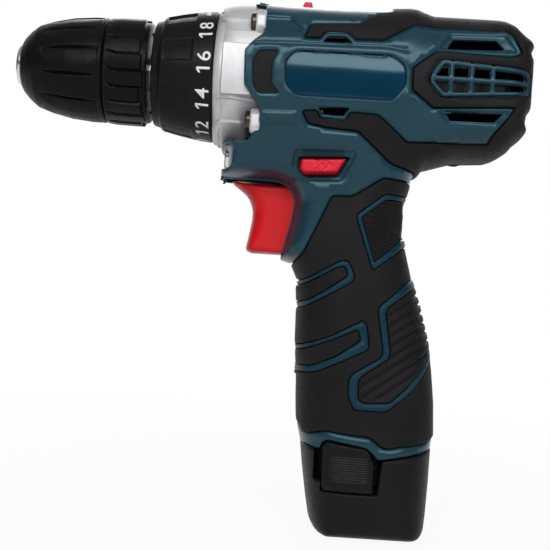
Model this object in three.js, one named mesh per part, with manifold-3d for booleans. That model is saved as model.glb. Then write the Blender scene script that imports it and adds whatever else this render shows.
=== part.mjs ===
// A cordless drill driver, taken apart into the pieces it is assembled from.
// Millimetres, +Z up. The spindle runs along X with the chuck towards -X, the left side faces -Y,
// and the origin is the centre of the flat base of the battery.
import * as THREE from "three";
import { ConvexGeometry } from "three/addons/geometries/ConvexGeometry.js";
import { mergeVertices } from "three/addons/utils/BufferGeometryUtils.js";
import Module from "manifold-3d";

const wasm = await Module();
wasm.setup();

// Clearances.
const GAP = 0.3; // between pieces that touch on the real tool
const RUNNING_GAP = 0.03; // round the spindle in its bearing
const SPLIT = 0.15; // half the joint line between the two housing halves
const TURNED_SEGMENTS = 20;
const THROUGH = [-60, 60]; // a reach along Y that passes through the whole width

// Spindle line: places along X and radii about the spindle axis.
const SPINDLE_Z = 158.5;
const SPINDLE_R = 6;
const CHUCK_TIP_X = -133.8;
const SLEEVE_FRONT_X = -132.4;
const SLEEVE_JOINT_X = -101.9;
const SLEEVE_REAR_X = -86.6;
const CHUCK_R = 18.5;
const BIT_R = 5.4;
const JAW_R = 2.6;
const JAW_SLOPE = THREE.MathUtils.degToRad(15);
const JAW_START_R = 4; // radius of a jaw's own centre line where it meets the chuck's tip
const JAW_GRIP_R = 5; // gripping faces stand this far from the axis when the chuck is open
const JAW_CLOSED_R = 0.7;
const JAW_FRONT_X = -131.5;
const JAW_REAR_X = -107;
const COLLAR_FRONT_X = -85;
const COLLAR_REAR_X = -63.5;
const NOSE_TUBE_R = 14.5;
const SPRING_R = 16.4;
const BEARING_X = [-82, -73.4];
const BEARING_R = 11.9;

// Gearbox: two planetary stages with equal tooth counts.
const MODULE = 1;
const SUN_TEETH = 12;
const PLANET_TEETH = 12;
const RING_TEETH = 36;
const ORBIT_R = (MODULE * (SUN_TEETH + PLANET_TEETH)) / 2;
const PLANET_ANGLES = [90, 210, 330].map(THREE.MathUtils.degToRad);
const RING_R = 21.2;
const GEARBOX_INNER_R = 21.5;
const GEARBOX_OUTER_R = 23.2;
const GEARBOX_RIM_R = 23.6;
const GEARBOX_FRONT_X = -63.2;
const GEARBOX_FLANGE_X = -46.6;
const GEARBOX_REAR_X = -13.6;
const GEARBOX_HALF_W = 25.4;
const GEARBOX_TOP = 25.6; // above the axis
const GEARBOX_BOTTOM = 24.4; // below the axis
const EAR_Y = 21;
const EAR_Z = 17;
const EAR_R = 4.3;
const EAR_FRONT_X = -51;
const FRONT_STAGE_X = [-36, -30.5];
const FRONT_RING_X = [-37.2, -29.5];
const REAR_STAGE_X = [-19.8, -14.6];
const REAR_RING_X = [-21, GEARBOX_REAR_X];
const CARRIER_R = 15.5;
const PIN_R = 2;

// Motor.
const MOTOR_R = 18;
const MOTOR_FRONT_X = -11.6;
const MOTOR_REAR_X = 36;
const MOTOR_CAP_X = 42;
const MOTOR_WALL = 1.6;
const MOTOR_BORE_R = 2.2;
const MOTOR_SCREW_Y = 12.5;
const SHAFT_R = 1.6;
const ROTOR_X = [-4, 24];
const COMMUTATOR_X = [25, 34];

// Housing: the body runs along X, the handle and nose along Z, and wall depths are below the outer surface.
const BODY_SQUARENESS = 3;
const HANDLE_SQUARENESS = 3;
const HOLLOW_SQUARENESS = 3.6;
const FORM_SEGMENTS = 16;
const HOLLOW_SEGMENTS = 12;
// Each body station: x, lowest z, highest z, half width.
const BODY_STATIONS = [
  [-54, 133.7, 183.8, 28],
  [5, 133.5, 185.1, 28],
  [12, 133.6, 183.2, 28],
  [33, 134.2, 182.9, 27.4],
  [38.6, 137, 180.9, 26],
  [43.7, 142.5, 175.6, 21.8],
  [46.6, 148.5, 171, 14],
];
// Each handle station: z, front x, rear x, half width.
const HANDLE_STATIONS = [
  [20, -25.6, 22.2, 21.5],
  [48, -27.6, 20.6, 21.5],
  [64, -28.8, 18.4, 21.5],
  [88, -29.5, 11.4, 20.8],
  [96, -36, 8.4, 20.4],
  [115, -34.2, 5.9, 20.3],
  [122, -42, 7.6, 20.8],
  [130, -50, 11.8, 21.8],
  [138, -54, 17, 23.6],
  [150, -56, 22, 24.5],
];
// The nose over the trigger, in the same terms.
const NOSE_STATIONS = [
  [122, -59.4, -4, 19.6],
  [130, -59.9, -2, 20.6],
  [138, -60, 0, 22],
  [150, -60, 0, 22],
];
const RUBBER_PROUD = 0.4;
const RUBBER_BACK = 0.9;
const FRAME_PROUD = 0.85;
const HOUSING_UNDER_RUBBER = 1.2;
const WALL = 2.7;
const HOUSING_FRONT_X = -46.3;
const NOSE_TOP_Z = 133.5;
const HANDLE_BOTTOM_Z = 32.6;
const HOUSING_SCREWS = [
  [-8, 180.8],
  [24, 137.4],
  [3, 128],
  [-50, 128],
  [-21, 90],
  [3, 91],
];
const BOSS_R = 2.9;
const SCREW_R = 1.2;
const SCREW_HEAD_R = 2.4;

// Controls.
const TRIGGER_HALF_W = 8.5;
const TRIGGER_TRAVEL = 7;
const TRIGGER_REAR_X = -28;
const TRIGGER_Z = [96.4, 121.3];
const TRIGGER_SPRING_Z = 108;
const TRIGGER_SPRING_X = [-30.6, -19.2];
const SPRING_SEAT_R = 3.6;
const SWITCH_X = [-19.6, 1.6];
const LENS_FACE_X = -58.8;
const LENS = { x: [-60.4, -56.8], y: [-4.5, 4.5], z: [126, 131.2] };
const SELECTOR_TRAVEL = 6;
const SELECTOR_X = [-34.6, -30.4];
const SELECTOR_HALF_W = 4.6;
const SELECTOR_Z = [182.5, 187];
const SHOE_HALF_W = 3.6;
const SHOE_OVERHANG = 1.9; // ahead of the knob
const SHOE_REAR_X = -15.6;
const SHOE_HALF_H = 0.4;
const YOKE_X = [-17.6, -16.4];
const DIRECTION_Y = [-24.6, 20.6];

// Battery: it slides out of the handle along its own leaning axis.
const LEAN = THREE.MathUtils.degToRad(5);
const BATTERY_HALF_W = 22.3;
const BATTERY_SQUARENESS = 3.2;
// Each battery station: z, front x, rear x, half width.
const BATTERY_STATIONS = [
  [0, -17.6, 17.6, 19.6],
  [1.6, -19.8, 19.2, 21.2],
  [5, -21, 19.9, 22],
  [12, -22.3, 20.2, BATTERY_HALF_W],
  [22, -24, 20.3, BATTERY_HALF_W],
  [32.3, -25.4, 20.4, BATTERY_HALF_W],
];
const TOWER_HALF_L = 19.1;
const TOWER_HALF_W = 18;
const TOWER_CORNER_R = 12.5;
const TOWER_TOP = 70;
const CELL_R = 9;
const CELL_LENGTH = 65;
const CELL_BOTTOM = 4;
const CELL_PLACES = [
  [-9.1, -7.9],
  [9.1, -7.9],
  [0, 7.9],
];
const LATCH_X = [-17.4, -0.6];
const LATCH_Z = [17.6, 31.8];
const LATCH_DEPTH = 2;
const LATCH_POCKET = 4.1;
const CONTACT_Y = [-5, 0, 5];

// ---- solids and geometries ----

// A closed geometry as a solid that can be joined and cut. Faces with no area are left out.
function solidOf(geometry) {
  const bare = geometry.index ? geometry.toNonIndexed() : geometry.clone();
  bare.deleteAttribute("normal");
  bare.deleteAttribute("uv");
  const merged = mergeVertices(bare, 1e-3);
  const faces = [];
  for (let i = 0; i < merged.index.count; i += 3) {
    const [a, b, c] = [0, 1, 2].map((corner) => merged.index.getX(i + corner));
    if (a !== b && b !== c && c !== a) faces.push(a, b, c);
  }
  const made = new wasm.Manifold(
    new wasm.Mesh({
      numProp: 3,
      vertProperties: merged.attributes.position.array,
      triVerts: new Uint32Array(faces),
    }),
  );
  if (made.volume() >= 0) return made;
  return new wasm.Manifold(
    new wasm.Mesh({
      numProp: 3,
      vertProperties: merged.attributes.position.array,
      triVerts: new Uint32Array(faces.reverse()),
    }),
  );
}

function geometryOf(solid) {
  const mesh = solid.getMesh();
  const geometry = new THREE.BufferGeometry();
  geometry.setAttribute("position", new THREE.BufferAttribute(mesh.vertProperties, 3));
  geometry.setIndex(new THREE.BufferAttribute(mesh.triVerts, 1));
  return geometry;
}

function join(...pieces) {
  return geometryOf(pieces.map(solidOf).reduce((all, piece) => all.add(piece)));
}

function cut(base, ...cutters) {
  return geometryOf(cutters.map(solidOf).reduce((left, cutter) => left.subtract(cutter), solidOf(base)));
}

function overlap(a, b) {
  return geometryOf(solidOf(a).intersect(solidOf(b)));
}

function box(x, y, z) {
  const size = [x, y, z].map(([low, high]) => high - low);
  const middle = [x, y, z].map(([low, high]) => (low + high) / 2);
  return new THREE.BoxGeometry(...size).translate(...middle);
}

function rod(axis, [low, high], radius, segments = 12) {
  const geometry = new THREE.CylinderGeometry(radius, radius, high - low, segments);
  geometry.translate(0, (low + high) / 2, 0);
  if (axis === "x") geometry.rotateZ(-Math.PI / 2);
  if (axis === "z") geometry.rotateX(Math.PI / 2);
  return geometry;
}

// A closed profile of [x, radius] points turned about the X axis.
function turned(profile, segments = TURNED_SEGMENTS) {
  const points = [...profile, profile[0]].map(([x, radius]) => new THREE.Vector2(radius, x));
  return new THREE.LatheGeometry(points, segments).rotateZ(-Math.PI / 2);
}

// A polygon of [x, z, corner radius] points; a corner with a radius is rounded.
function outline(corners, roundAll = 0) {
  const shape = new THREE.Shape();
  corners.forEach(([x, z, radius = roundAll], i) => {
    const here = new THREE.Vector2(x, z);
    const before = new THREE.Vector2(...corners.at(i - 1)).sub(here);
    const after = new THREE.Vector2(...corners[(i + 1) % corners.length]).sub(here);
    const reach = Math.min(radius, before.length() * 0.45, after.length() * 0.45);
    const start = here.clone().add(before.setLength(reach));
    const end = here.clone().add(after.setLength(reach));
    if (i === 0) shape.moveTo(start.x, start.y);
    else shape.lineTo(start.x, start.y);
    if (reach > 0) shape.quadraticCurveTo(x, z, end.x, end.y);
  });
  shape.closePath();
  return shape;
}

// A side-view shape given a thickness along Y.
function sidePlate(shape, [low, high], curveSegments = 3) {
  const options = { depth: high - low, bevelEnabled: false, curveSegments };
  return new THREE.ExtrudeGeometry(shape, options).translate(0, 0, -high).rotateX(Math.PI / 2);
}

// A side-view shape grown by a clearance and run through the whole width.
function grownPlate(shape, clearance) {
  const depth = THROUGH[1] - THROUGH[0];
  const options = { depth, bevelThickness: 1, bevelSize: clearance, bevelSegments: 1, curveSegments: 1 };
  return new THREE.ExtrudeGeometry(shape, options).translate(0, 0, THROUGH[0]).rotateX(Math.PI / 2);
}

// A plan-view shape given a height along Z.
function planPlate(shape, [low, high], curveSegments = 3) {
  const options = { depth: high - low, bevelEnabled: false, curveSegments };
  return new THREE.ExtrudeGeometry(shape, options).translate(0, 0, low);
}

// A front-view shape of [y, z] points given a length along X.
function frontPlate(shape, [low, high], curveSegments = 3) {
  const options = { depth: high - low, bevelEnabled: false, curveSegments };
  return new THREE.ExtrudeGeometry(shape, options)
    .translate(0, 0, low)
    .rotateX(Math.PI / 2)
    .rotateZ(Math.PI / 2);
}

// A closed form through stations along one direction: a cylinder's rings are squared and moved to them.
function loft(stations, squareness, segments, place) {
  const geometry = new THREE.CylinderGeometry(1, 1, 1, segments, stations.length - 1);
  const points = geometry.attributes.position;
  const squared = (value) => Math.sign(value) * Math.abs(value) ** (2 / squareness);
  for (let i = 0; i < points.count; i += 1) {
    const station = stations[Math.round((points.getY(i) + 0.5) * (stations.length - 1))];
    points.setXYZ(i, ...place(station, squared(points.getX(i)), squared(points.getZ(i))));
  }
  return geometry;
}

function bodyForm(inset, segments) {
  const last = BODY_STATIONS.length - 1;
  const stations = BODY_STATIONS.map(([x, low, high, half], i) => [
    i === last ? x - inset : x,
    low + inset,
    high - inset,
    half - inset,
  ]);
  return loft(stations, BODY_SQUARENESS, segments, ([x, low, high, half], across, up) => [
    x,
    half * across,
    (low + high + (high - low) * up) / 2,
  ]);
}

// A form whose stations lie along Z, such as the handle, moved inwards by the inset.
function uprightForm(stations, squareness, segments, inset = 0) {
  const shrunk = stations.map(([z, front, rear, half]) => [z, front + inset, rear - inset, half - inset]);
  return loft(shrunk, squareness, segments, ([z, front, rear, half], along, across) => [
    (front + rear + (rear - front) * along) / 2,
    half * across,
    z,
  ]);
}

function noseForm(inset, segments) {
  const lifted = NOSE_STATIONS.map(([z, ...rest], i) => [i === 0 ? z + inset : z, ...rest]);
  return uprightForm(lifted, HANDLE_SQUARENESS, segments, inset);
}

// The housing's outer form, moved inwards by the inset.
function housingForm(inset) {
  return join(
    bodyForm(inset, FORM_SEGMENTS),
    uprightForm(HANDLE_STATIONS, HANDLE_SQUARENESS, FORM_SEGMENTS, inset),
    noseForm(inset, FORM_SEGMENTS),
  );
}

// The room inside the housing.
function housingHollow() {
  return join(
    bodyForm(WALL, HOLLOW_SEGMENTS),
    uprightForm(HANDLE_STATIONS, HOLLOW_SQUARENESS, FORM_SEGMENTS, WALL),
    noseForm(WALL, HOLLOW_SEGMENTS),
  );
}

// Half width of a form at a point of the side view, where a station is [place, low, high, half width].
function halfWidthOfForm(stations, squareness, place, crossing) {
  const above = stations.findIndex(([station]) => station > place);
  if (above < 1) return 0;
  const share = (place - stations[above - 1][0]) / (stations[above][0] - stations[above - 1][0]);
  const [, low, high, half] = stations[above].map((end, i) =>
    THREE.MathUtils.lerp(stations[above - 1][i], end, share),
  );
  const off = Math.min(Math.abs(2 * crossing - low - high) / (high - low), 1);
  return half * (1 - off ** squareness) ** (1 / squareness);
}

function halfWidthAt(x, z) {
  return Math.max(
    halfWidthOfForm(BODY_STATIONS, BODY_SQUARENESS, x, z),
    halfWidthOfForm(HANDLE_STATIONS, HANDLE_SQUARENESS, z, x),
    halfWidthOfForm(NOSE_STATIONS, HANDLE_SQUARENESS, z, x),
  );
}

// ---- housing ----

// What the housing keeps of its two forms: the front is cut to meet the gearbox and its ears.
const HOUSING_REGION = [
  [HOUSING_FRONT_X, 200],
  [HOUSING_FRONT_X, 169.8],
  [-50.4, 166.4],
  [-52.8, 163],
  [-52.8, 152],
  [-50, 148],
  [HOUSING_FRONT_X, 144.4],
  [HOUSING_FRONT_X, NOSE_TOP_Z],
  [-70, NOSE_TOP_Z],
  [-70, HANDLE_BOTTOM_Z],
  [80, HANDLE_BOTTOM_Z],
  [80, 200],
];

const GRILLE_RING = [
  [8.8, 158],
  [12.8, 164],
  [41.5, 162.4],
  [43, 160.8],
  [43, 155],
  [41.5, 153.6],
  [13.2, 151.8],
  [9, 156],
];

const BODY_RUBBER = [
  [-33.4, 168.6],
  [-28, 168.8],
  [-26.8, 171],
  [-18.4, 171.2],
  [-16.4, 169.1],
  [-7, 169.4],
  [3.3, 176],
  [33.2, 176],
  [36.2, 174],
  [39, 166],
  [10.8, 166.6],
  [3.4, 160.6],
  [3.4, 153.6],
  [10.4, 147.9],
  [38, 149.4],
  [35.6, 146],
  [31.6, 138],
  [3.4, 136.8],
  [-5, 143.3],
  [-16.6, 144.6],
  [-18.2, 142],
  [-26.2, 142.2],
  [-27.4, 144.6],
  [-32.5, 144.4],
  [-30.2, 140.6],
  [-13.3, 139],
  [-2, 129.6],
  [6, 127.6],
  [14, 120],
  [60, 120],
  [60, 200],
  [-3, 200],
  [-3.2, 181.4],
  [-14.7, 175.2],
  [-31.2, 174],
];

const GRIP_RUBBER = [
  [12, 124],
  [-3.5, 124],
  [-13.6, 117.4],
  [-20.4, 117.3],
  [-24, 108.9],
  [-29.3, 96.7],
  [-34, 92],
  [-40, 88],
  [-40, 38],
  [30, 38],
  [30, 120],
];

// The raised frames round the grip's pads. Both outlines of a frame run on past the handle.
const PAD_FRAMES = [
  {
    outer: [
      [-12, 111.2],
      [-2.4, 119.1],
      [20, 119.4],
      [20, 105.6],
      [5.4, 101.4],
      [-5.2, 92.8],
    ],
    inner: [
      [-9.9, 110.6],
      [-1.8, 117.2],
      [24, 117.6],
      [24, 108.6],
      [4.6, 104],
      [-4.9, 95.8],
    ],
  },
  {
    outer: [
      [-36, 86.2],
      [-26.1, 89.4],
      [-16.2, 95.5],
      [-12.6, 94.8],
      [-11.4, 89],
      [-27.1, 79.1],
      [-36, 77],
    ],
    inner: [
      [-38, 84.2],
      [-27.6, 86.9],
      [-16.8, 93.4],
      [-13.5, 90.5],
      [-25.6, 81.9],
      [-38, 79],
    ],
  },
  {
    outer: [
      [-36, 64.6],
      [-28.3, 65.7],
      [-7, 75.9],
      [-5, 66],
      [-22.3, 57.2],
      [-36, 55],
    ],
    inner: [
      [-38, 62.2],
      [-27.8, 64],
      [-8.9, 72.7],
      [-7.7, 69.1],
      [-24.1, 59.1],
      [-38, 57.2],
    ],
  },
  {
    outer: [
      [28, 97],
      [7.4, 89.5],
      [-2.4, 80.5],
      [-0.2, 65],
      [-10.9, 55.9],
      [-10.2, 46.5],
      [2.4, 45.5],
      [15.7, 60],
      [28, 72],
    ],
    inner: [
      [29, 93.4],
      [8.3, 86.5],
      [0.2, 78.8],
      [2.3, 64.6],
      [-7.8, 54.7],
      [-7.2, 48.8],
      [3.2, 48.6],
      [13.5, 59.5],
      [29, 75.6],
    ],
  },
];

const NOSE_PAD = [
  [-48.1, 163.3],
  [-41.5, 163.8],
  [-43.4, 159.6],
  [-43.3, 153],
  [-40.8, 149.5],
  [-47.5, 149.2],
  [-49.4, 151.6],
  [-49.8, 160],
];

const NOTCH_VENTS = [
  [
    [-26, 168],
    [-25.2, 169.6],
    [-19.6, 169.7],
    [-18, 168.2],
  ],
  [
    [-26.6, 145.8],
    [-17.6, 145.8],
    [-18.8, 143.8],
    [-25.6, 143.7],
  ],
];

const REAR_SLOTS = [
  [
    [16.5, 169.8],
    [17.6, 172.2],
    [31.2, 172.2],
    [33.2, 169.6],
  ],
  [
    [15.8, 146.2],
    [33.8, 147],
    [31.4, 144.6],
    [17.2, 144.6],
  ],
];

function sideHalf(side) {
  const reach = side < 0 ? [THROUGH[0], -SPLIT] : [SPLIT, THROUGH[1]];
  return box([-160, 80], reach, [-10, 220]);
}

// A region of the side view, with the grille ring left out of the body's rubber.
function regionShape(region) {
  const shape = outline(region);
  if (region === BODY_RUBBER) shape.holes.push(outline(GRILLE_RING));
  return shape;
}

// One skin layer over a region of the side view.
function skin(region) {
  const plate = sidePlate(regionShape(region), THROUGH);
  return cut(overlap(housingForm(-RUBBER_PROUD), plate), housingForm(RUBBER_BACK));
}

// The grip's skin carries the frames of its pads as raised bands.
function gripSkin() {
  const bands = PAD_FRAMES.map(({ outer, inner }) =>
    cut(sidePlate(outline(outer), THROUGH), sidePlate(outline(inner), THROUGH)),
  );
  const plain = overlap(housingForm(-RUBBER_PROUD), sidePlate(outline(GRIP_RUBBER), THROUGH));
  const raised = overlap(housingForm(-FRAME_PROUD), join(...bands));
  return cut(join(plain, raised), housingForm(RUBBER_BACK));
}

// The hollow under a skin region, a little wider than the skin.
function skinSeat(region) {
  return cut(grownPlate(regionShape(region), GAP), housingForm(HOUSING_UNDER_RUBBER));
}

function grilleBars() {
  const columns = [
    [10.4, 15.4],
    [16.6, 21.8],
    [23, 28.6],
    [30, 39.5],
  ];
  const rows = [
    [152.9, 157.1],
    [158.6, 162.8],
  ];
  const holes = [];
  for (const [left, right] of columns) {
    for (const [low, high] of rows) {
      const taper = (right - 10) * 0.045;
      const bottom = low < 155 ? low + taper : low;
      const top = low < 155 ? high : high - taper;
      holes.push(box([left, right], THROUGH, [bottom, top]));
    }
  }
  return holes;
}

function screwBoss([x, z]) {
  return rod("y", THROUGH, BOSS_R, 8).translate(x, 0, z);
}

function screwHole([x, z]) {
  const halfWidth = halfWidthAt(x, z);
  const shank = rod("y", [-halfWidth + 5, THROUGH[1]], SCREW_R + GAP, 8);
  const well = rod("y", [halfWidth - 6, THROUGH[1]], SCREW_HEAD_R + GAP, 12);
  return join(shank, well).translate(x, 0, z);
}

function housingShell() {
  const region = sidePlate(outline(HOUSING_REGION), THROUGH);
  const outer = overlap(housingForm(0), region);
  const inner = housingHollow();
  const bosses = HOUSING_SCREWS.map(screwBoss).reduce((all, boss) => join(all, boss));
  const inside = overlap(bosses, overlap(housingForm(HOUSING_UNDER_RUBBER), region));
  return cut(
    join(cut(outer, inner), inside),
    skinSeat(BODY_RUBBER),
    skinSeat(GRIP_RUBBER),
    skinSeat(NOSE_PAD),
    gearboxEnvelope(),
    triggerSlot(),
    lensSeat(),
    selectorSlot(),
    directionSlot(),
    ...grilleBars(),
    ...[...NOTCH_VENTS, ...REAR_SLOTS].map((corners) => sidePlate(outline(corners), THROUGH)),
    ...HOUSING_SCREWS.map(screwHole),
    ...earScrewHoles().map((hole) => hole.translate(0, 0, SPINDLE_Z)),
  );
}

function gearboxEnvelope() {
  const shape = gearboxForm(GAP);
  const tube = rod("x", [-60, GEARBOX_REAR_X + GAP], GEARBOX_OUTER_R + GAP, 28);
  return join(shape, tube).translate(0, 0, SPINDLE_Z);
}

// ---- trigger, light and switches ----

const TRIGGER_OUTLINE = [
  [-55.4, TRIGGER_Z[1], 1.5],
  [TRIGGER_REAR_X, TRIGGER_Z[1]],
  [TRIGGER_REAR_X, TRIGGER_Z[0]],
  [-47.6, TRIGGER_Z[0], 2],
  [-49.2, 98.6, 2],
  [-47.5, 108, 6],
  [-47.6, 113.4, 5],
  [-51, 118, 4],
];

function triggerSlot() {
  const deep = TRIGGER_REAR_X + TRIGGER_TRAVEL + 1;
  const halfWidth = TRIGGER_HALF_W + 0.5;
  return box([-58, deep], [-halfWidth, halfWidth], [TRIGGER_Z[0] - 0.6, TRIGGER_Z[1] + 0.5]);
}

function springSeat(x) {
  return rod("x", x, SPRING_SEAT_R, 16).translate(0, 0, TRIGGER_SPRING_Z);
}

function triggerPiece() {
  const blade = sidePlate(outline(TRIGGER_OUTLINE), [-TRIGGER_HALF_W, TRIGGER_HALF_W]);
  return cut(blade, springSeat([TRIGGER_SPRING_X[0] - 1.4, -20]));
}

function lensSeat() {
  const grow = ([low, high]) => [low - GAP, high + GAP];
  return box(grow(LENS.x), grow(LENS.y), grow(LENS.z));
}

function workLightLens() {
  return box([LENS_FACE_X, LENS.x[1]], LENS.y, LENS.z);
}

// The slot for the knob and the channel under the roof for its shoe.
function selectorSlot() {
  const front = SELECTOR_X[0] - SELECTOR_TRAVEL - 0.5;
  const halfWidth = SELECTOR_HALF_W + 0.4;
  const slot = box([front, SELECTOR_X[1] + 0.5], [-halfWidth, halfWidth], [180, 200]);
  const shoeHalf = SHOE_HALF_W + 0.4;
  const channelTop = SELECTOR_Z[0] + SHOE_HALF_H + GAP;
  const channel = box([front - SHOE_OVERHANG, SHOE_REAR_X + 0.5], [-shoeHalf, shoeHalf], [180, channelTop]);
  return join(slot, channel);
}

function speedSelector() {
  const [low, high] = SELECTOR_Z;
  const knob = outline([
    [SELECTOR_X[0], low],
    [SELECTOR_X[1], low],
    [SELECTOR_X[1] - 0.4, high, 0.6],
    [SELECTOR_X[0] + 0.7, high, 0.6],
  ]);
  const shoeX = [SELECTOR_X[0] - SHOE_OVERHANG, SHOE_REAR_X];
  const shoe = box(shoeX, [-SHOE_HALF_W, SHOE_HALF_W], [low - SHOE_HALF_H, low + SHOE_HALF_H]);
  const prong = box(YOKE_X, [-1.6, 1.6], [SPINDLE_Z + 20.5, low]);
  return join(sidePlate(knob, [-SELECTOR_HALF_W, SELECTOR_HALF_W]), shoe, prong);
}

const DIRECTION_OUTLINE = [
  [-32, 129.4, 0.8],
  [-16, 130, 0.8],
  [-19.2, 124.4, 0.8],
  [-30.6, 123.8, 0.8],
  [-32.2, 125.4, 0.8],
];

function directionSlot() {
  return grownPlate(outline(DIRECTION_OUTLINE), 0.4);
}

function directionButton() {
  return sidePlate(outline(DIRECTION_OUTLINE), DIRECTION_Y, 2);
}

function switchBody() {
  const block = box(SWITCH_X, [-9.5, 9.5], [98, 120.6]);
  return cut(block, springSeat([SWITCH_X[0] - 5, TRIGGER_SPRING_X[1] + 1.8]));
}

function helix(turns, radius, length, wireRadius, stepsPerTurn) {
  const points = [];
  for (let i = 0; i <= turns * stepsPerTurn; i += 1) {
    const angle = (2 * Math.PI * i) / stepsPerTurn;
    const x = (length * i) / (turns * stepsPerTurn);
    points.push(new THREE.Vector3(x, radius * Math.cos(angle), radius * Math.sin(angle)));
  }
  const path = new THREE.CatmullRomCurve3(points);
  const wire = new THREE.Shape().absarc(0, 0, wireRadius, 0, 2 * Math.PI);
  const options = { steps: turns * stepsPerTurn, extrudePath: path, curveSegments: 3, bevelEnabled: false };
  return new THREE.ExtrudeGeometry(wire, options);
}

function triggerSpring() {
  const [front, rear] = TRIGGER_SPRING_X;
  return helix(4, 2.6, rear - front, 0.45, 8).translate(front, 0, TRIGGER_SPRING_Z);
}

// ---- gearbox ----

// Points of the gearbox's outer form, grown by a clearance. Its front is round and its rear is eight-sided.
function gearboxForm(grow) {
  const points = [];
  const rim = GEARBOX_RIM_R + grow;
  for (let i = 0; i < 16; i += 1) {
    const angle = (2 * Math.PI * i) / 16;
    const onRim = [rim * Math.cos(angle), rim * Math.sin(angle)];
    points.push(new THREE.Vector3(GEARBOX_FRONT_X - grow, ...onRim));
  }
  const halfW = GEARBOX_HALF_W + grow;
  const top = GEARBOX_TOP + grow;
  const bottom = -GEARBOX_BOTTOM - grow;
  const shoulders = [
    [halfW, 9],
    [halfW - 3, 17.5],
    [halfW - 12, top - 1.8],
    [6, top],
    [halfW, -8],
    [halfW - 4, -17.5],
    [halfW - 11, bottom],
  ];
  for (const [y, z] of shoulders) {
    for (const side of [-1, 1]) {
      points.push(new THREE.Vector3(-57, side * y, z * 0.985));
      points.push(new THREE.Vector3(GEARBOX_FLANGE_X + grow, side * y, z));
    }
  }
  return new ConvexGeometry(points);
}

function earPlaces() {
  return [-1, 1].flatMap((side) => [-1, 1].map((end) => [side * EAR_Y, end * EAR_Z]));
}

// One rod along X at each ear of the gearbox.
function earRods(reach, radius, segments) {
  return earPlaces().map(([y, z]) => rod("x", reach, radius, segments).translate(0, y, z));
}

function earScrewHoles() {
  return earRods([-60, -40], SCREW_R + GAP, 8);
}

function gearboxHousing() {
  const ears = earRods([EAR_FRONT_X, GEARBOX_FLANGE_X], EAR_R, 12);
  const wells = earRods([-70, EAR_FRONT_X], 3.5, 10);
  const noseTube = rod("x", [-84.4, GEARBOX_FRONT_X + 1], NOSE_TUBE_R, 28);
  const sleeve = rod("x", [-50, GEARBOX_REAR_X], GEARBOX_OUTER_R, 28);
  const outer = join(cut(gearboxForm(0), ...wells), ...ears, noseTube, sleeve);
  const chamber = turned([
    [-42, 0],
    [-42, GEARBOX_INNER_R],
    [GEARBOX_REAR_X + 5, GEARBOX_INNER_R],
    [GEARBOX_REAR_X + 5, 0],
  ]);
  const relief = rod("x", [-60.5, -43.5], 19.5, 20);
  const bearingSeat = rod("x", [-90, -72], BEARING_R + GAP, 20);
  const spindleBore = rod("x", [-100, -30], SPINDLE_R + 1.2, 16);
  const yokeSlot = box([-24, GEARBOX_REAR_X + 5], [-2.2, 2.2], [19, 30]);
  return cut(outer, chamber, relief, bearingSeat, spindleBore, yokeSlot, ...earScrewHoles());
}

function gearboxRearPlate() {
  const disc = turned([
    [-13.3, 4.2],
    [-13.3, 21],
    [-11.9, 21],
    [-11.9, 4.2],
  ]);
  const holes = [-1, 1].map((side) => rod("x", [-20, 0], 1.8).translate(0, side * MOTOR_SCREW_Y, 0));
  return cut(disc, ...holes);
}

// One wheel's tooth outline: trapezoids between a root and a tip circle.
function toothPoints(teeth, rootR, tipR, rootShare, tipShare) {
  const pitch = (2 * Math.PI) / teeth;
  const points = [];
  for (let i = 0; i < teeth; i += 1) {
    const corners = [
      [rootR, -rootShare],
      [tipR, -tipShare],
      [tipR, tipShare],
      [rootR, rootShare],
    ];
    for (const [radius, share] of corners) {
      const angle = pitch * (i + share / 2);
      points.push(new THREE.Vector2(radius * Math.cos(angle), radius * Math.sin(angle)));
    }
  }
  return points;
}

function gearWheel(teeth, boreR, reach) {
  const rootR = MODULE * (teeth / 2 - 1.2);
  const tipR = MODULE * (teeth / 2 + 0.85);
  const shape = new THREE.Shape(toothPoints(teeth, rootR, tipR, 0.62, 0.2));
  if (boreR > 0) shape.holes.push(new THREE.Path().absarc(0, 0, boreR, 0, 2 * Math.PI));
  return frontPlate(shape, reach, 4);
}

function ringGear(reach) {
  const rootR = MODULE * (RING_TEETH / 2 + 1.25);
  const tipR = MODULE * (RING_TEETH / 2 - 0.8);
  const shape = new THREE.Shape().absarc(0, 0, RING_R, 0, 2 * Math.PI);
  shape.holes.push(new THREE.Path(toothPoints(RING_TEETH, rootR, tipR, 0.6, 0.28)));
  return frontPlate(shape, reach, 10);
}

// The ring gear that the speed selector's prong moves.
function slidingRingGear() {
  const notch = box([YOKE_X[0] - GAP, YOKE_X[1] + GAP], [-2, 2], [RING_R - 1, RING_R + 2]);
  return cut(ringGear(REAR_RING_X), notch);
}

function orbitPlaces() {
  return PLANET_ANGLES.map((angle) => [ORBIT_R * Math.cos(angle), ORBIT_R * Math.sin(angle)]);
}

function carrierPins([low, high]) {
  return orbitPlaces().map(([y, z]) => rod("x", [low, high], PIN_R).translate(0, y, z));
}

function rearCarrier() {
  const disc = rod("x", [-22.8, -20.3], CARRIER_R, 20);
  const sun = gearWheel(SUN_TEETH, 0, [-36.4, -22]);
  return join(disc, sun, ...carrierPins([-21, REAR_STAGE_X[1] + 0.4]));
}

function frontCarrier() {
  const disc = turned([
    [-39.6, 4.3],
    [-39.6, CARRIER_R],
    [-37, CARRIER_R],
    [-37, 4.3],
  ]);
  return join(disc, ...carrierPins([-38, FRONT_STAGE_X[1] + 0.4]));
}

function outputSpindle() {
  return turned([
    [-102.6, 2.9],
    [-102.6, SPINDLE_R],
    [-46, SPINDLE_R],
    [-46, 7],
    [-41, 7],
    [-41, 4],
    [-37.4, 4],
    [-37.4, 0],
    [-88, 0],
    [-88, 2.9],
  ]);
}

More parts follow.
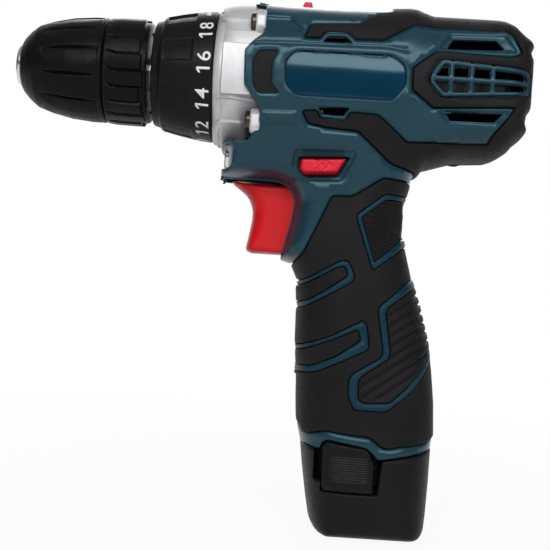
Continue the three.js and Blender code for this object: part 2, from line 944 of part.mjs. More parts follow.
function spindleBearing() {
  const [front, rear] = BEARING_X;
  const bore = (SPINDLE_R + RUNNING_GAP) / Math.cos(Math.PI / TURNED_SEGMENTS);
  return turned([
    [front, bore],
    [front, BEARING_R],
    [rear, BEARING_R],
    [rear, bore],
  ]);
}

// A socket-head screw along X with its head towards the chuck.
function gearboxScrew() {
  const head = cut(rod("x", [-53.6, -51.3], 2.9, 12), rod("x", [-55, -52.4], 1.5, 6));
  return join(head, rod("x", [-52.5, -41], SCREW_R, 8));
}

function motorCan() {
  return turned([
    [MOTOR_FRONT_X, MOTOR_BORE_R],
    [MOTOR_FRONT_X, MOTOR_R],
    [MOTOR_REAR_X, MOTOR_R],
    [MOTOR_REAR_X, MOTOR_R - MOTOR_WALL],
    [MOTOR_FRONT_X + 2, MOTOR_R - MOTOR_WALL],
    [MOTOR_FRONT_X + 2, MOTOR_BORE_R],
  ]);
}

function motorEndCap() {
  return turned([
    [MOTOR_REAR_X + GAP, MOTOR_BORE_R],
    [MOTOR_REAR_X + GAP, MOTOR_R - 0.4],
    [MOTOR_REAR_X + 2, MOTOR_R - 0.4],
    [MOTOR_CAP_X, MOTOR_R - 5],
    [MOTOR_CAP_X, MOTOR_BORE_R],
  ]);
}

function motorRotor() {
  const pinion = gearWheel(SUN_TEETH, 0, REAR_STAGE_X);
  const shaft = rod("x", [REAR_STAGE_X[1] - 1, MOTOR_CAP_X + 0.6], SHAFT_R);
  const core = rod("x", ROTOR_X, 8.5);
  const commutator = rod("x", COMMUTATOR_X, 4.5);
  const neck = rod("x", [ROTOR_X[1] - 1, COMMUTATOR_X[0] + 1], 3);
  return join(pinion, shaft, core, neck, commutator);
}

// ---- clutch collar ----

function torqueCollar() {
  return turned(
    [
      [COLLAR_FRONT_X, NOSE_TUBE_R + 0.4],
      [COLLAR_FRONT_X, 18.2],
      [-82.4, 19.1],
      [-81.8, 19.9],
      [-76, 21.3],
      [-70, 22.4],
      [COLLAR_REAR_X, 23.1],
      [COLLAR_REAR_X, 20],
      [-79.4, 18],
      [-80.4, 18],
      [-80.4, NOSE_TUBE_R + 0.4],
    ],
    32,
  );
}

function clutchSpring() {
  return helix(3, SPRING_R, 9.4, 0.8, 12).translate(-79.2, 0, 0);
}

function clutchWasher() {
  return turned([
    [-68, NOSE_TUBE_R + 0.3],
    [-68, 18.4],
    [-66.6, 18.4],
    [-66.6, NOSE_TUBE_R + 0.3],
  ]);
}

// ---- chuck ----

// A rod along the upper jaw's sloping line, between two places along X.
function jawLine(radius, [low, high]) {
  const along = [low, high].map((x) => (x - CHUCK_TIP_X) / Math.cos(JAW_SLOPE));
  return rod("x", along, radius).rotateY(-JAW_SLOPE).translate(CHUCK_TIP_X, 0, JAW_START_R);
}

function chuckBody() {
  const core = turned([
    [CHUCK_TIP_X, BIT_R],
    [CHUCK_TIP_X, 6.8],
    [CHUCK_TIP_X + 0.4, 7.2],
    [-130, 7.2],
    [-122, 9.4],
    [-118.5, 10.4],
    [-104.5, 10.4],
    [-104.5, 13.9],
    [-87.2, 13.9],
    [-87.2, SPINDLE_R + 0.3],
    [-103, SPINDLE_R + 0.3],
    [-103, 2.8],
    [-108, 2.8],
    [-108, BIT_R],
  ]);
  const channels = [0, 1, 2].map((i) =>
    jawLine(JAW_R + GAP, [CHUCK_TIP_X - 8, -104.8]).rotateX((i * 2 * Math.PI) / 3),
  );
  return cut(core, ...channels);
}

// A jaw is a sloping rod cut to a wedge whose flat edge grips the bit. It lies above the axis.
function chuckJaw() {
  const reach = 30;
  const lift = JAW_GRIP_R - JAW_CLOSED_R;
  const spread = reach / Math.tan(Math.PI / 3);
  const wedge = new THREE.Shape([
    new THREE.Vector2(-reach, lift + spread),
    new THREE.Vector2(0, lift + 0.25),
    new THREE.Vector2(reach, lift + spread),
  ]);
  const body = overlap(jawLine(JAW_R, [JAW_FRONT_X - 4, JAW_REAR_X]), frontPlate(wedge, [-160, -90]));
  return overlap(body, box([JAW_FRONT_X, -90], [-reach, reach], [JAW_GRIP_R, reach]));
}

function chuckNut() {
  return turned([
    [-118, 11.4],
    [-118, 15],
    [-112, 15.6],
    [-112, 13],
  ]);
}

function chuckFrontSleeve() {
  return turned(
    [
      [SLEEVE_FRONT_X, 7.7],
      [SLEEVE_FRONT_X, 8.4],
      [-131.5, 10.2],
      [-129.4, 12.4],
      [-127, 14.1],
      [-123.5, 15.8],
      [-117, 17.5],
      [-107, CHUCK_R],
      [SLEEVE_JOINT_X, CHUCK_R - 0.1],
      [SLEEVE_JOINT_X, 16.9],
      [-116, 16],
      [-125, 13.3],
      [-130.2, 7.7],
    ],
    32,
  );
}

function chuckRearSleeve() {
  return turned(
    [
      [SLEEVE_JOINT_X + GAP, 14.2],
      [SLEEVE_JOINT_X + GAP, CHUCK_R - 0.1],
      [-90, CHUCK_R + 0.1],
      [SLEEVE_REAR_X, CHUCK_R + 0.1],
      [SLEEVE_REAR_X, 14.2],
    ],
    32,
  );
}

function chuckScrew() {
  const head = cut(rod("x", [-111.5, -108.3], 4.4, 16), rod("x", [-113, -110], 1.8, 6));
  return join(head, rod("x", [-109, -90], 2.4, 12));
}

// ---- battery ----

function roundedRectangle(halfLength, halfWidth, radius) {
  return outline(
    [
      [-halfLength, -halfWidth],
      [halfLength, -halfWidth],
      [halfLength, halfWidth],
      [-halfLength, halfWidth],
    ],
    radius,
  );
}

// The tower that enters the handle, about its own leaning axis.
function towerForm(inset, [low, high]) {
  const halves = [TOWER_HALF_L - inset, TOWER_HALF_W - inset];
  const shape = roundedRectangle(...halves, TOWER_CORNER_R - inset);
  return planPlate(shape, [low, high], 3).rotateY(-LEAN);
}

function latchPocket(side) {
  const [x, z] = [LATCH_X, LATCH_Z];
  const outer = side * (BATTERY_HALF_W + 5);
  const floor = side * (BATTERY_HALF_W - LATCH_POCKET);
  const y = side < 0 ? [outer, floor] : [floor, outer];
  return box([x[0] - 0.5, x[1] + 0.5], y, [z[0] - 0.4, z[1] + 5]);
}

function batteryCase() {
  const base = uprightForm(BATTERY_STATIONS, BATTERY_SQUARENESS, FORM_SEGMENTS);
  const shell = join(base, towerForm(0, [14, TOWER_TOP - 1.2]));
  const bores = CELL_PLACES.map(([x, y]) =>
    rod("z", [CELL_BOTTOM - 0.4, TOWER_TOP + 20], CELL_R + 0.35, 16)
      .translate(x, y, 0)
      .rotateY(-LEAN),
  );
  return cut(shell, ...bores, latchPocket(-1), latchPocket(1));
}

function batteryCell([x, y]) {
  const can = new THREE.LatheGeometry(
    [
      [0, 0],
      [CELL_R, 0],
      [CELL_R, CELL_LENGTH - 0.9],
      [3, CELL_LENGTH - 0.9],
      [3, CELL_LENGTH],
      [0, CELL_LENGTH],
    ].map(([radius, z]) => new THREE.Vector2(radius, z)),
    16,
  );
  return can.rotateX(Math.PI / 2).translate(x, y, CELL_BOTTOM).rotateY(-LEAN);
}

function batteryCap() {
  const lid = towerForm(1.4, [TOWER_TOP - 0.8, TOWER_TOP + 2]);
  const shelf = planPlate(roundedRectangle(11, 9, 3), [TOWER_TOP + 1, TOWER_TOP + 6]).rotateY(-LEAN);
  const slots = CONTACT_Y.map((y) =>
    box([-13, 6], [y - 0.7, y + 0.7], [TOWER_TOP + 3.4, TOWER_TOP + 9]).rotateY(-LEAN),
  );
  return cut(join(lid, shelf), ...slots);
}

function terminalBlock() {
  const block = box([-10, 8], [-9, 9], [TOWER_TOP + 6.8, TOWER_TOP + 11]);
  const reach = [TOWER_TOP + 4, TOWER_TOP + 8];
  const blades = CONTACT_Y.map((y) => box([-8, 3], [y - 0.35, y + 0.35], reach));
  return join(block, ...blades).rotateY(-LEAN);
}

function batteryLatch(side) {
  const [x, z] = [LATCH_X, LATCH_Z];
  const outer = BATTERY_HALF_W + 0.2;
  const corners = [
    [x[0], z[0], 0.6],
    [x[1], z[0], 0.6],
    [x[1], z[1] - 3.4, 3],
    [x[1] - 2.4, z[1] - 0.4, 3],
    [x[0] + 1.4, z[1], 2],
    [x[0], z[1] - 2, 2],
  ];
  const y = side < 0 ? [-outer, -outer + LATCH_DEPTH] : [outer - LATCH_DEPTH, outer];
  return sidePlate(outline(corners), y);
}

// A pan-head screw along Y that enters from the right side.
function housingScrew([x, z]) {
  const halfWidth = halfWidthAt(x, z);
  const head = rod("y", [halfWidth - 5.6, halfWidth - 4], SCREW_HEAD_R, 12);
  return join(head, rod("y", [-halfWidth + 7, halfWidth - 5], SCREW_R, 8));
}

// ---- materials ----

const FINISHES = {
  blue_plastic: ["#15374a", 0.45, 0],
  black_rubber: ["#202225", 0.8, 0],
  black_plastic: ["#1c1d1f", 0.55, 0],
  battery_plastic: ["#232326", 0.6, 0],
  red_plastic: ["#c3262b", 0.4, 0],
  silver_aluminium: ["#c9ccce", 0.35, 0.9],
  bright_steel: ["#a8acb0", 0.3, 1],
  dark_steel: ["#3c3d40", 0.4, 1],
  clear_lens: ["#e8eef2", 0.1, 0],
  cell_wrap: ["#2f6f9f", 0.5, 0],
  brass: ["#c9a24a", 0.35, 1],
};

function material(finish) {
  const [color, roughness, metalness] = FINISHES[finish];
  return new THREE.MeshStandardMaterial({ color, roughness, metalness });
}

function piece(name, finish, geometry) {
  const mesh = new THREE.Mesh(geometry, material(finish));
  mesh.name = name;
  return mesh;
}

// ---- assembly ----

function housingGroup() {
  const group = new THREE.Group();
  const shell = housingShell();
  const wells = HOUSING_SCREWS.map(screwHole);
  const bodySkin = skin(BODY_RUBBER);
  const handleSkin = gripSkin();
  const padSkin = skin(NOSE_PAD);
  for (const [side, word] of [
    [-1, "left"],
    [1, "right"],
  ]) {
    const half = sideHalf(side);
    const holes = side > 0 ? wells : [];
    const halved = (geometry) => cut(overlap(geometry, half), ...holes);
    group.add(piece(`housing_${word}`, "blue_plastic", overlap(shell, half)));
    group.add(piece(`body_rubber_${word}`, "black_rubber", halved(bodySkin)));
    group.add(piece(`grip_rubber_${word}`, "black_rubber", halved(handleSkin)));
    group.add(piece(`nose_pad_${word}`, "black_rubber", overlap(padSkin, half)));
  }
  HOUSING_SCREWS.forEach(([x, z], i) => {
    const screw = piece(`housing_screw_${i + 1}`, "dark_steel", housingScrew([x, z]));
    screw.position.set(x, 0, z);
    group.add(screw);
  });
  return group;
}

function gearboxGroup() {
  const group = new THREE.Group();
  group.position.z = SPINDLE_Z;
  group.add(piece("gearbox_housing", "silver_aluminium", gearboxHousing()));
  group.add(piece("gearbox_rear_plate", "bright_steel", gearboxRearPlate()));
  group.add(piece("ring_gear_front", "dark_steel", ringGear(FRONT_RING_X)));
  group.add(piece("ring_gear_rear", "dark_steel", slidingRingGear()));
  group.add(piece("planet_carrier_front", "bright_steel", frontCarrier()));
  group.add(piece("planet_carrier_rear", "bright_steel", rearCarrier()));
  for (const [stage, reach] of [
    ["front", FRONT_STAGE_X],
    ["rear", REAR_STAGE_X],
  ]) {
    orbitPlaces().forEach(([y, z], i) => {
      const wheel = gearWheel(PLANET_TEETH, PIN_R + GAP, reach);
      const planet = piece(`planet_${stage}_${i + 1}`, "bright_steel", wheel);
      planet.position.set(0, y, z);
      planet.rotation.x = Math.PI / PLANET_TEETH;
      group.add(planet);
    });
  }
  earPlaces().forEach(([y, z], i) => {
    const screw = piece(`gearbox_screw_${i + 1}`, "dark_steel", gearboxScrew());
    screw.position.set(0, y, z);
    group.add(screw);
  });
  group.add(piece("output_spindle", "bright_steel", outputSpindle()));
  group.add(piece("spindle_bearing", "bright_steel", spindleBearing()));
  group.add(piece("motor_can", "bright_steel", motorCan()));
  group.add(piece("motor_end_cap", "black_plastic", motorEndCap()));
  group.add(piece("motor_rotor", "dark_steel", motorRotor()));
  group.add(piece("torque_collar", "black_plastic", torqueCollar()));
  group.add(piece("clutch_spring", "bright_steel", clutchSpring()));
  group.add(piece("clutch_washer", "bright_steel", clutchWasher()));
  return group;
}

function chuckGroup() {
  const group = new THREE.Group();
  group.position.z = SPINDLE_Z;
  group.add(piece("chuck_body", "bright_steel", chuckBody()));
  group.add(piece("chuck_nut", "dark_steel", chuckNut()));
  group.add(piece("chuck_front_sleeve", "black_plastic", chuckFrontSleeve()));
  group.add(piece("chuck_rear_sleeve", "black_plastic", chuckRearSleeve()));
  group.add(piece("chuck_screw", "dark_steel", chuckScrew()));
  for (let i = 0; i < 3; i += 1) {
    const jaw = piece(`chuck_jaw_${i + 1}`, "dark_steel", chuckJaw());
    jaw.rotation.x = (i * 2 * Math.PI) / 3;
    group.add(jaw);
  }
  return group;
}

function controlsGroup() {
  const group = new THREE.Group();
  group.add(piece("trigger", "red_plastic", triggerPiece()));
  group.add(piece("trigger_spring", "bright_steel", triggerSpring()));
  group.add(piece("switch_body", "black_plastic", switchBody()));
  group.add(piece("direction_button", "red_plastic", directionButton()));
  group.add(piece("speed_selector", "red_plastic", speedSelector()));
  group.add(piece("work_light_lens", "clear_lens", workLightLens()));
  return group;
}

function batteryGroup() {
  const group = new THREE.Group();
  group.add(piece("battery_case", "battery_plastic", batteryCase()));
  group.add(piece("battery_cap", "black_plastic", batteryCap()));
  group.add(piece("terminal_block", "brass", terminalBlock()));
  CELL_PLACES.forEach((place, i) => {
    group.add(piece(`battery_cell_${i + 1}`, "cell_wrap", batteryCell(place)));
  });
  group.add(piece("battery_latch_left", "black_plastic", batteryLatch(-1)));
  group.add(piece("battery_latch_right", "black_plastic", batteryLatch(1)));
  return group;
}

const drill = new THREE.Group();
drill.add(housingGroup(), gearboxGroup(), chuckGroup(), controlsGroup(), batteryGroup());

export default drill;
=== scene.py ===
"""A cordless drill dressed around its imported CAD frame: moulded housing halves, grips, cast gear housing,
chuck, torque collar, controls and battery, each with its own material.

Shapes are written in millimetres, +Z up, with the chuck towards -X and the left side towards -Y.
"""
import math

import bmesh
import bpy
import numpy as np
from mathutils import Matrix, Vector
from mathutils.geometry import delaunay_2d_cdt


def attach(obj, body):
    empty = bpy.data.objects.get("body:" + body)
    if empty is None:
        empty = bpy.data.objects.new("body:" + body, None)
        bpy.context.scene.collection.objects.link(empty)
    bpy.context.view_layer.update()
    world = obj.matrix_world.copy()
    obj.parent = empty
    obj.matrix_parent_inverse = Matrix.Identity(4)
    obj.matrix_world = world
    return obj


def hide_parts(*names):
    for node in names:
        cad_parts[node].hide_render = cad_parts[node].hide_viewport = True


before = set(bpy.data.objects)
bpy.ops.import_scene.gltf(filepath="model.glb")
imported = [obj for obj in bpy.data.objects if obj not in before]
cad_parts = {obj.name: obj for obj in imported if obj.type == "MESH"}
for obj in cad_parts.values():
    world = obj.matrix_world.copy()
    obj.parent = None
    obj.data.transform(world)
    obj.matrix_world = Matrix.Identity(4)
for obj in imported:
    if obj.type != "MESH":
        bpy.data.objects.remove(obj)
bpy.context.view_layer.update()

MM = 0.001
SPINDLE_Z = 158.5
SEAM = 0.07  # half the joint line between the housing halves

# ---------------------------------------------------------------- plane geometry


def rounded(corners, radius=0.0, closed=True, arc=4):
    """Points along a polygon of [x, z, ...] corners, rounded at each. Values after z are carried along."""
    corners = np.array(corners, float)
    points = []
    last = len(corners) - 1
    for i, here in enumerate(corners):
        before = corners[i - 1] - here
        after = corners[(i + 1) % len(corners)] - here
        lengths = [np.hypot(*way[:2]) for way in (before, after)]
        reach = min(radius, 0.45 * lengths[0], 0.45 * lengths[1])
        if reach < 1e-6 or (not closed and i in (0, last)):
            points.append(here)
            continue
        start = here + before / lengths[0] * reach
        end = here + after / lengths[1] * reach
        for t in np.linspace(0, 1, arc + 1):
            points.append((1 - t) ** 2 * start + 2 * t * (1 - t) * here + t * t * end)
    return np.array(points)


def counterclockwise(loop):
    x, z = loop[:, 0], loop[:, 1]
    area = np.sum(x * np.roll(z, -1) - np.roll(x, -1) * z)
    return loop if area > 0 else loop[::-1]


def segments(line, closed):
    starts = line if closed else line[:-1]
    ends = np.roll(line, -1, 0) if closed else line[1:]
    return starts, ends


def sampled(line, step, closed=True):
    """Points no more than a step apart along a line, with the unit normal to the left of each."""
    points, normals = [], []
    starts, ends = segments(line[:, :2], closed)
    for a, b in zip(starts, ends):
        length = np.hypot(*(b - a))
        if length < 1e-9:
            continue
        count = max(1, math.ceil(length / step))
        way = (b - a) / length
        for k in range(count):
            points.append(a + (b - a) * k / count)
            normals.append([-way[1], way[0]])
    points, normals = np.array(points), np.array(normals)
    smooth = normals + np.roll(normals, 1, 0)
    if not closed:
        smooth[0] = normals[0]
    size = np.linalg.norm(smooth, axis=1, keepdims=True)
    return points, np.where(size > 0.2, smooth / np.maximum(size, 1e-9), normals)


def nearest(points, line, closed=True):
    """Distance from each point to a line, the nearest place on it and that place's segment and share."""
    starts, ends = segments(line[:, :2], closed)
    keep = np.hypot(*(ends - starts).T) > 1e-9
    index = np.nonzero(keep)[0]
    starts, ends = starts[keep], ends[keep]
    way = ends - starts
    share = np.einsum("ijk,jk->ij", points[:, None] - starts[None], way) / np.sum(way * way, 1)
    share = np.clip(share, 0, 1)
    place = starts[None] + share[..., None] * way[None]
    gap = np.linalg.norm(points[:, None] - place, axis=2)
    return gap, place, share, index


def inside(points, loop):
    x, z = points[:, 0:1], points[:, 1:2]
    a, b = loop[None, :, :2], np.roll(loop, -1, 0)[None, :, :2]
    crosses = (a[..., 1] > z) != (b[..., 1] > z)
    rise = np.where(np.abs(b[..., 1] - a[..., 1]) < 1e-12, 1e-12, b[..., 1] - a[..., 1])
    at = (b[..., 0] - a[..., 0]) * (z - a[..., 1]) / rise + a[..., 0]
    return (crosses & (x < at)).sum(1) % 2 == 1


def signed(points, loop):
    """Distance to a closed loop, positive inside it."""
    gap = nearest(points, loop)[0].min(1)
    return np.where(inside(points, loop), gap, -gap)


def clipped(loop, fence):
    """A convex loop cut to the inside of a convex counterclockwise fence."""
    points = [np.array(p, float) for p in loop]
    for a, b in zip(fence, np.roll(fence, -1, 0)):
        way = b - a
        side = [way[0] * (p[1] - a[1]) - way[1] * (p[0] - a[0]) for p in points]
        kept = []
        for i, p in enumerate(points):
            q, s, t = points[i - 1], side[i], side[i - 1]
            if (s >= 0) != (t >= 0):
                kept.append(q + (p - q) * t / (t - s))
            if s >= 0:
                kept.append(p)
        points = kept
        if not points:
            return None
    return np.array(points)


# ---------------------------------------------------------------- profiles across an edge


def rise(gap, height, width):
    """A rounded shoulder that climbs from zero at the edge to its height one width inside."""
    share = np.clip(gap / width, 0, 1)
    return np.where(gap > 0, height * np.sqrt(1 - (1 - share) ** 2), 0)


def ramp(gap, height, width):
    """A soft step centred on the edge."""
    share = np.clip(gap / width + 0.5, 0, 1)
    return height * share * share * (3 - 2 * share)


def groove(gap, depth, half):
    """A rounded channel along the edge, as a height below zero."""
    share = np.clip(1 - np.abs(gap) / half, 0, 1)
    return -depth * share * (2 - share)


# ---------------------------------------------------------------- a moulded side as one sheet


ON_BORDER = 1e-4
ROW_HEIGHT = 0.866  # of an even triangle, as a share of its side


class Sheet:
    """A moulded half as a triangulated side view, whose points are then raised to its surface."""

    def __init__(self, domain):
        self.domain = counterclockwise(domain)
        self.points = []
        self.count = 0
        self.edges = []

    def row(self, points, closed=False, gap_limit=math.inf):
        """Points joined in order, so that the triangles follow them. Gaps wider than the limit stay open."""
        if len(points) < 2:
            return
        first = self.count
        self.points.append(points)
        self.count += len(points)
        for i in range(len(points) if closed else len(points) - 1):
            j = (i + 1) % len(points)
            if np.hypot(*(points[j] - points[i])) < gap_limit:
                self.edges.append((first + i, first + j))

    def rings(self, line, offsets, step, closed=True):
        """Rows parallel to a line. A positive offset lies on its left."""
        base, normals = sampled(line, step, closed)
        for offset in offsets:
            moved = base + normals * offset
            kept = signed(moved, self.domain) > -ON_BORDER
            if offset:
                kept &= nearest(moved, line[:, :2], closed)[0].min(1) > 0.96 * abs(offset)
            if kept.all():
                self.row(moved, closed)
            else:
                self.row(moved[kept], gap_limit=2.2 * step)

    def grid(self, spacing, clear=0.7):
        """Fills the plain areas with evenly spaced points, clear of the rows."""
        low, high = self.domain[:, :2].min(0), self.domain[:, :2].max(0)
        rows = []
        for k, z in enumerate(np.arange(low[1], high[1], spacing * ROW_HEIGHT)):
            x = np.arange(low[0] + (k % 2) * spacing / 2, high[0], spacing)
            rows.append(np.stack([x, np.full_like(x, z)], 1))
        points = np.concatenate(rows)
        points = points[inside(points, self.domain)]
        taken = np.concatenate(self.points)
        cells = {tuple(c) for c in np.floor(taken / clear).astype(int)}
        near = [
            any((cx + i, cz + j) in cells for i in (-1, 0, 1) for j in (-1, 0, 1))
            for cx, cz in np.floor(points / clear).astype(int)
        ]
        points = points[~np.array(near)]
        self.points.append(points)
        self.count += len(points)

    def triangulate(self):
        """Joins the points to triangles that keep to the rows, and drops those outside the domain."""
        points = np.concatenate(self.points)
        unique, inverse = np.unique(np.round(points, 3), axis=0, return_inverse=True)
        inverse = inverse.reshape(-1)
        edges = {tuple(sorted((int(inverse[a]), int(inverse[b])))) for a, b in self.edges}
        edges = sorted(e for e in edges if e[0] != e[1])
        made = delaunay_2d_cdt([Vector(p) for p in unique], edges, [], 0, 1e-5, False)
        self.flat = np.array([tuple(v) for v in made[0]], float)
        faces = np.array([f for f in made[2] if len(f) == 3], int)
        a, b, c = (self.flat[faces[:, k]] for k in range(3))
        area = (b[:, 0] - a[:, 0]) * (c[:, 1] - a[:, 1]) - (b[:, 1] - a[:, 1]) * (c[:, 0] - a[:, 0])
        faces = np.where((area < 0)[:, None], faces[:, ::-1], faces)
        faces = faces[np.abs(area) > 1e-7]
        self.middles = self.flat[faces].mean(1)
        kept = inside(self.middles, self.domain)
        self.faces, self.middles = faces[kept], self.middles[kept]


ON_THE_LINE = 0.012
STEEPEST = 1e3


def pillow(points, edges, widths, power):
    """Half width at each point, and the surface's normal for the left side.

    Each edge line carries the depth of its rounding as a third value. Its left side faces outwards.
    """
    best = np.zeros(len(points))
    out = np.zeros((len(points), 2))
    depth = np.ones(len(points))
    for line in edges:
        gap, place, share, index = nearest(points, line, False)
        reach = line[:-1, 2][index] * (1 - share) + line[1:, 2][index] * share
        closeness = 1 - np.where(gap < ON_THE_LINE, 0, gap) / reach
        k = closeness.argmax(1)
        rows = np.arange(len(points))
        close, at = closeness[rows, k], place[rows, k]
        way = (line[1:, :2] - line[:-1, :2])[index][k]
        way /= np.linalg.norm(way, axis=1, keepdims=True)
        outward = at - points
        size = np.linalg.norm(outward, axis=1, keepdims=True)
        left = np.stack([-way[:, 1], way[:, 0]], 1)
        outward = np.where(size > 1e-3, outward / np.maximum(size, 1e-9), left)
        better = close > best
        best = np.where(better, close, best)
        out = np.where(better[:, None], outward, out)
        depth = np.where(better, reach[rows, k], depth)
    best = np.clip(best, 0, 1)
    full = np.maximum(1 - best**power, 1e-12)
    half = widths * full ** (1 / power)
    slope = np.minimum(widths / depth * best ** (power - 1) * full ** (1 / power - 1), STEEPEST)
    normal = np.stack([out[:, 0] * slope, -np.ones(len(points)), out[:, 1] * slope], 1)
    return half, normal / np.linalg.norm(normal, axis=1, keepdims=True)


# ---------------------------------------------------------------- the housing's lines in the side view
# Each outline of the silhouette carries the depth of its rounding as a third value.

TOP_AND_REAR = [
    (-75, 184.2, 25), (-46.6, 184.1, 25), (-40, 183.9, 25), (-22, 183.9, 25), (-13.4, 184.2, 25.5),
    (-7, 184.4, 26), (-2.4, 185, 26.5), (3.2, 185.4, 27), (5.9, 185.1, 27), (8.7, 184, 26.5),
    (11.4, 183.1, 26), (28, 183.1, 24), (33.7, 182.8, 19), (36.2, 182.2, 17), (39.3, 180.4, 13.5),
    (42.5, 176.9, 11), (44.4, 175.2, 9.5), (45.9, 173.2, 9), (46.1, 172.4, 9), (45.1, 170.4, 8),
    (45.1, 169.3, 8), (46.2, 167.5, 9), (46.6, 163, 11), (46.5, 158, 11), (46.4, 153.4, 10),
    (46.1, 151, 9), (44.7, 149, 8), (44.4, 146.3, 8), (45.2, 144.3, 7.5), (45, 143.2, 7.5),
    (43.8, 141.5, 8), (41.4, 139.4, 9), (40.2, 137.6, 9), (37.5, 135.6, 10.5), (34.8, 134.5, 12),
    (22.2, 133.5, 13), (14.4, 131, 13), (11.4, 130.1, 13), (9.6, 127.3, 14),
    (8.2, 126.8, 15), (6.3, 118.9, 17), (5.7, 117.8, 17), (5.8, 113.7, 17), (6, 104.8, 17),
    (6.8, 103.4, 17), (6.9, 101.6, 17), (9.8, 91.3, 17.5), (11, 88.9, 17.5), (13.6, 81.8, 18),
    (17.3, 69.5, 18.5), (19.1, 58.8, 19), (20.5, 48.1, 19), (21.2, 36.5, 19), (20.7, 32.5, 19),
    (20.7, 15, 19),
]
FRONT_OF_GRIP = [
    (-25, 15, 19), (-25.2, 31.2, 19), (-26.7, 36.7, 19), (-27.4, 46, 19), (-27.8, 54.7, 19),
    (-28.4, 56.1, 19), (-28.1, 57.4, 19), (-28.6, 62, 19), (-28.5, 64.6, 19), (-29, 66, 19),
    (-29.3, 77.3, 18.5), (-28.7, 79.2, 18), (-29.5, 81, 18), (-29.9, 85.6, 17), (-29.2, 87.3, 17),
    (-32.2, 93.6, 13), (-36.6, 94.8, 9), (-36.3, 96.8, 8), (-33.8, 107.6, 8), (-32.8, 114.8, 8),
    (-33.4, 117.7, 8), (-35.3, 120.1, 8), (-38.3, 121.7, 7), (-41.9, 122.1, 7), (-56.3, 122, 6),
    (-59.2, 122.2, 5), (-59.5, 125.2, 5), (-57, 125.7, 4), (-56.9, 131.4, 4), (-59.5, 131.5, 5),
    (-59.9, 132.4, 5), (-59.8, 133.6, 5),
]
FRONT_EDGE = [
    (-59.8, 133.6), (-50.4, 133.8), (-46.8, 139.2), (-46.4, 143.9), (-49.5, 148), (-52.4, 151.8),
    (-52.9, 163.2), (-50.6, 166.2), (-46.9, 169.6), (-46.8, 180.9), (-50.2, 181.6),
    (-51.8, 184.1),
]
BOTTOM_EDGE = [
    (20.7, 32.5), (12.3, 31), (8.1, 30.3), (2, 29.2), (0.4, 29.2), (-0.9, 30.6), (-3.1, 32.6),
    (-8.8, 33.6), (-17, 34.6), (-18.5, 33.4), (-18.9, 31.2), (-25.2, 31.2),
]
# Half width of the housing's sides at each height.
SIDE_WIDTHS = [
    (20, 21.9), (48, 21.6), (64, 21.5), (88, 20.9), (100, 20.6), (115, 20.5), (122, 20.9),
    (130, 21.9), (138, 23.8), (142, 25), (146, 26.6), (150, 27.5), (156, 27.8), (190, 27.8),
]
SIDE_POWER = 2.5

BODY_RUBBER = [
    (-33.4, 168.6), (-28, 168.8), (-26.8, 171), (-18.9, 171.5), (-16.4, 169.1), (-7, 169.4),
    (3.3, 176.1), (30.8, 175.9), (33.2, 176.2), (36, 174.3), (39.1, 167.4), (35.7, 166.2),
    (10.8, 166.8), (3.2, 160.7), (3.4, 153.4), (10.7, 147.9), (38.1, 149.6), (35.7, 146),
    (31.6, 139.8), (31, 137.9), (3.4, 136.4), (-5.1, 143.2), (-7.5, 144.7), (-16.5, 144.8),
    (-18, 142), (-26.4, 142.5), (-27.6, 144.8), (-32.5, 144.4), (-30.2, 140.6), (-24.4, 139.6),
    (-13.3, 139), (-1.9, 129.5), (1.5, 128.5), (8.3, 127.6), (14, 122), (60, 122), (60, 200),
    (-2, 200), (-3.2, 181.4), (-7.9, 180.3), (-14.7, 175.3), (-31.3, 173.9),
]
GRILLE_RING = [
    (8.8, 158.3), (12.8, 164), (41, 162.4), (42.5, 160.8), (42.9, 154.8), (41.3, 153.7),
    (13.3, 151.6), (9, 156),
]
GRILLE_OPENING = [
    (10.5, 158.1), (13.5, 162.5), (39.8, 161), (41.2, 159.8), (41.4, 155.8), (40, 155),
    (13.9, 153.2), (10.7, 156.3),
]
GRILLE_COLUMNS = [(9.8, 15.3), (16.6, 22), (23.2, 29), (30.4, 41.5)]
GRILLE_ROWS = [(152.8, 157.1), (158.5, 162.8)]
SIDE_PANEL = [
    (-36.2, 164.1), (-4.7, 164.6), (-2.7, 163.9), (0.8, 161.2), (1.2, 154.9), (-1.8, 150.7),
    (-3.4, 149.3), (-35.2, 149.2), (-38.6, 152.7), (-39.2, 160.6),
]
NOSE_PAD = [
    (-48.1, 163.3), (-41.5, 163.8), (-43.5, 159.6), (-43.4, 153), (-40.6, 149.5), (-47.5, 149.1),
    (-49.3, 151.6), (-49.9, 159.9),
]
TOP_POCKET = [(-56, 175.7), (-38.2, 176.3), (-33.9, 171.7), (-34.8, 170.8), (-56, 169.6)]
LOWER_BAR = [(-52, 143.7), (-33.9, 144.3), (-33.6, 139.7), (-52, 138.7)]
CREASE = [(-50, 165.9), (-40, 166.3), (-6.4, 167.3), (1.6, 166.4)]
UPPER_SLOT = [(14.4, 168.3), (16.6, 171.9), (30.6, 172.4), (33.1, 168.9)]
UPPER_SLOT_RECESS = [(11.4, 167.6), (15.5, 173.4), (33.6, 174), (37.4, 167.8)]
LOWER_SLOT = [(15, 147), (34, 147.4), (31.5, 144.6), (17, 144.4)]
LOWER_SLOT_RECESS = [(12.8, 147.4), (36.2, 148.1), (32.4, 143.6), (16.2, 143.6)]
UPPER_NOTCH = [(-26.9, 167.6), (-25.4, 169.6), (-19.5, 169.8), (-17.4, 167.8)]
LOWER_NOTCH = [(-27.2, 146), (-17, 146.2), (-18.2, 143.7), (-26, 143.5)]
DIRECTION_SLOT = [(-32.6, 129.6), (-15.2, 130.6), (-18.9, 124), (-30.7, 123.2), (-32.8, 125.3)]
DIRECTION_RECESS = [(-34.2, 131.9), (-12.8, 132.6), (-17.4, 122.4), (-31.4, 121.7), (-34.6, 124.6)]

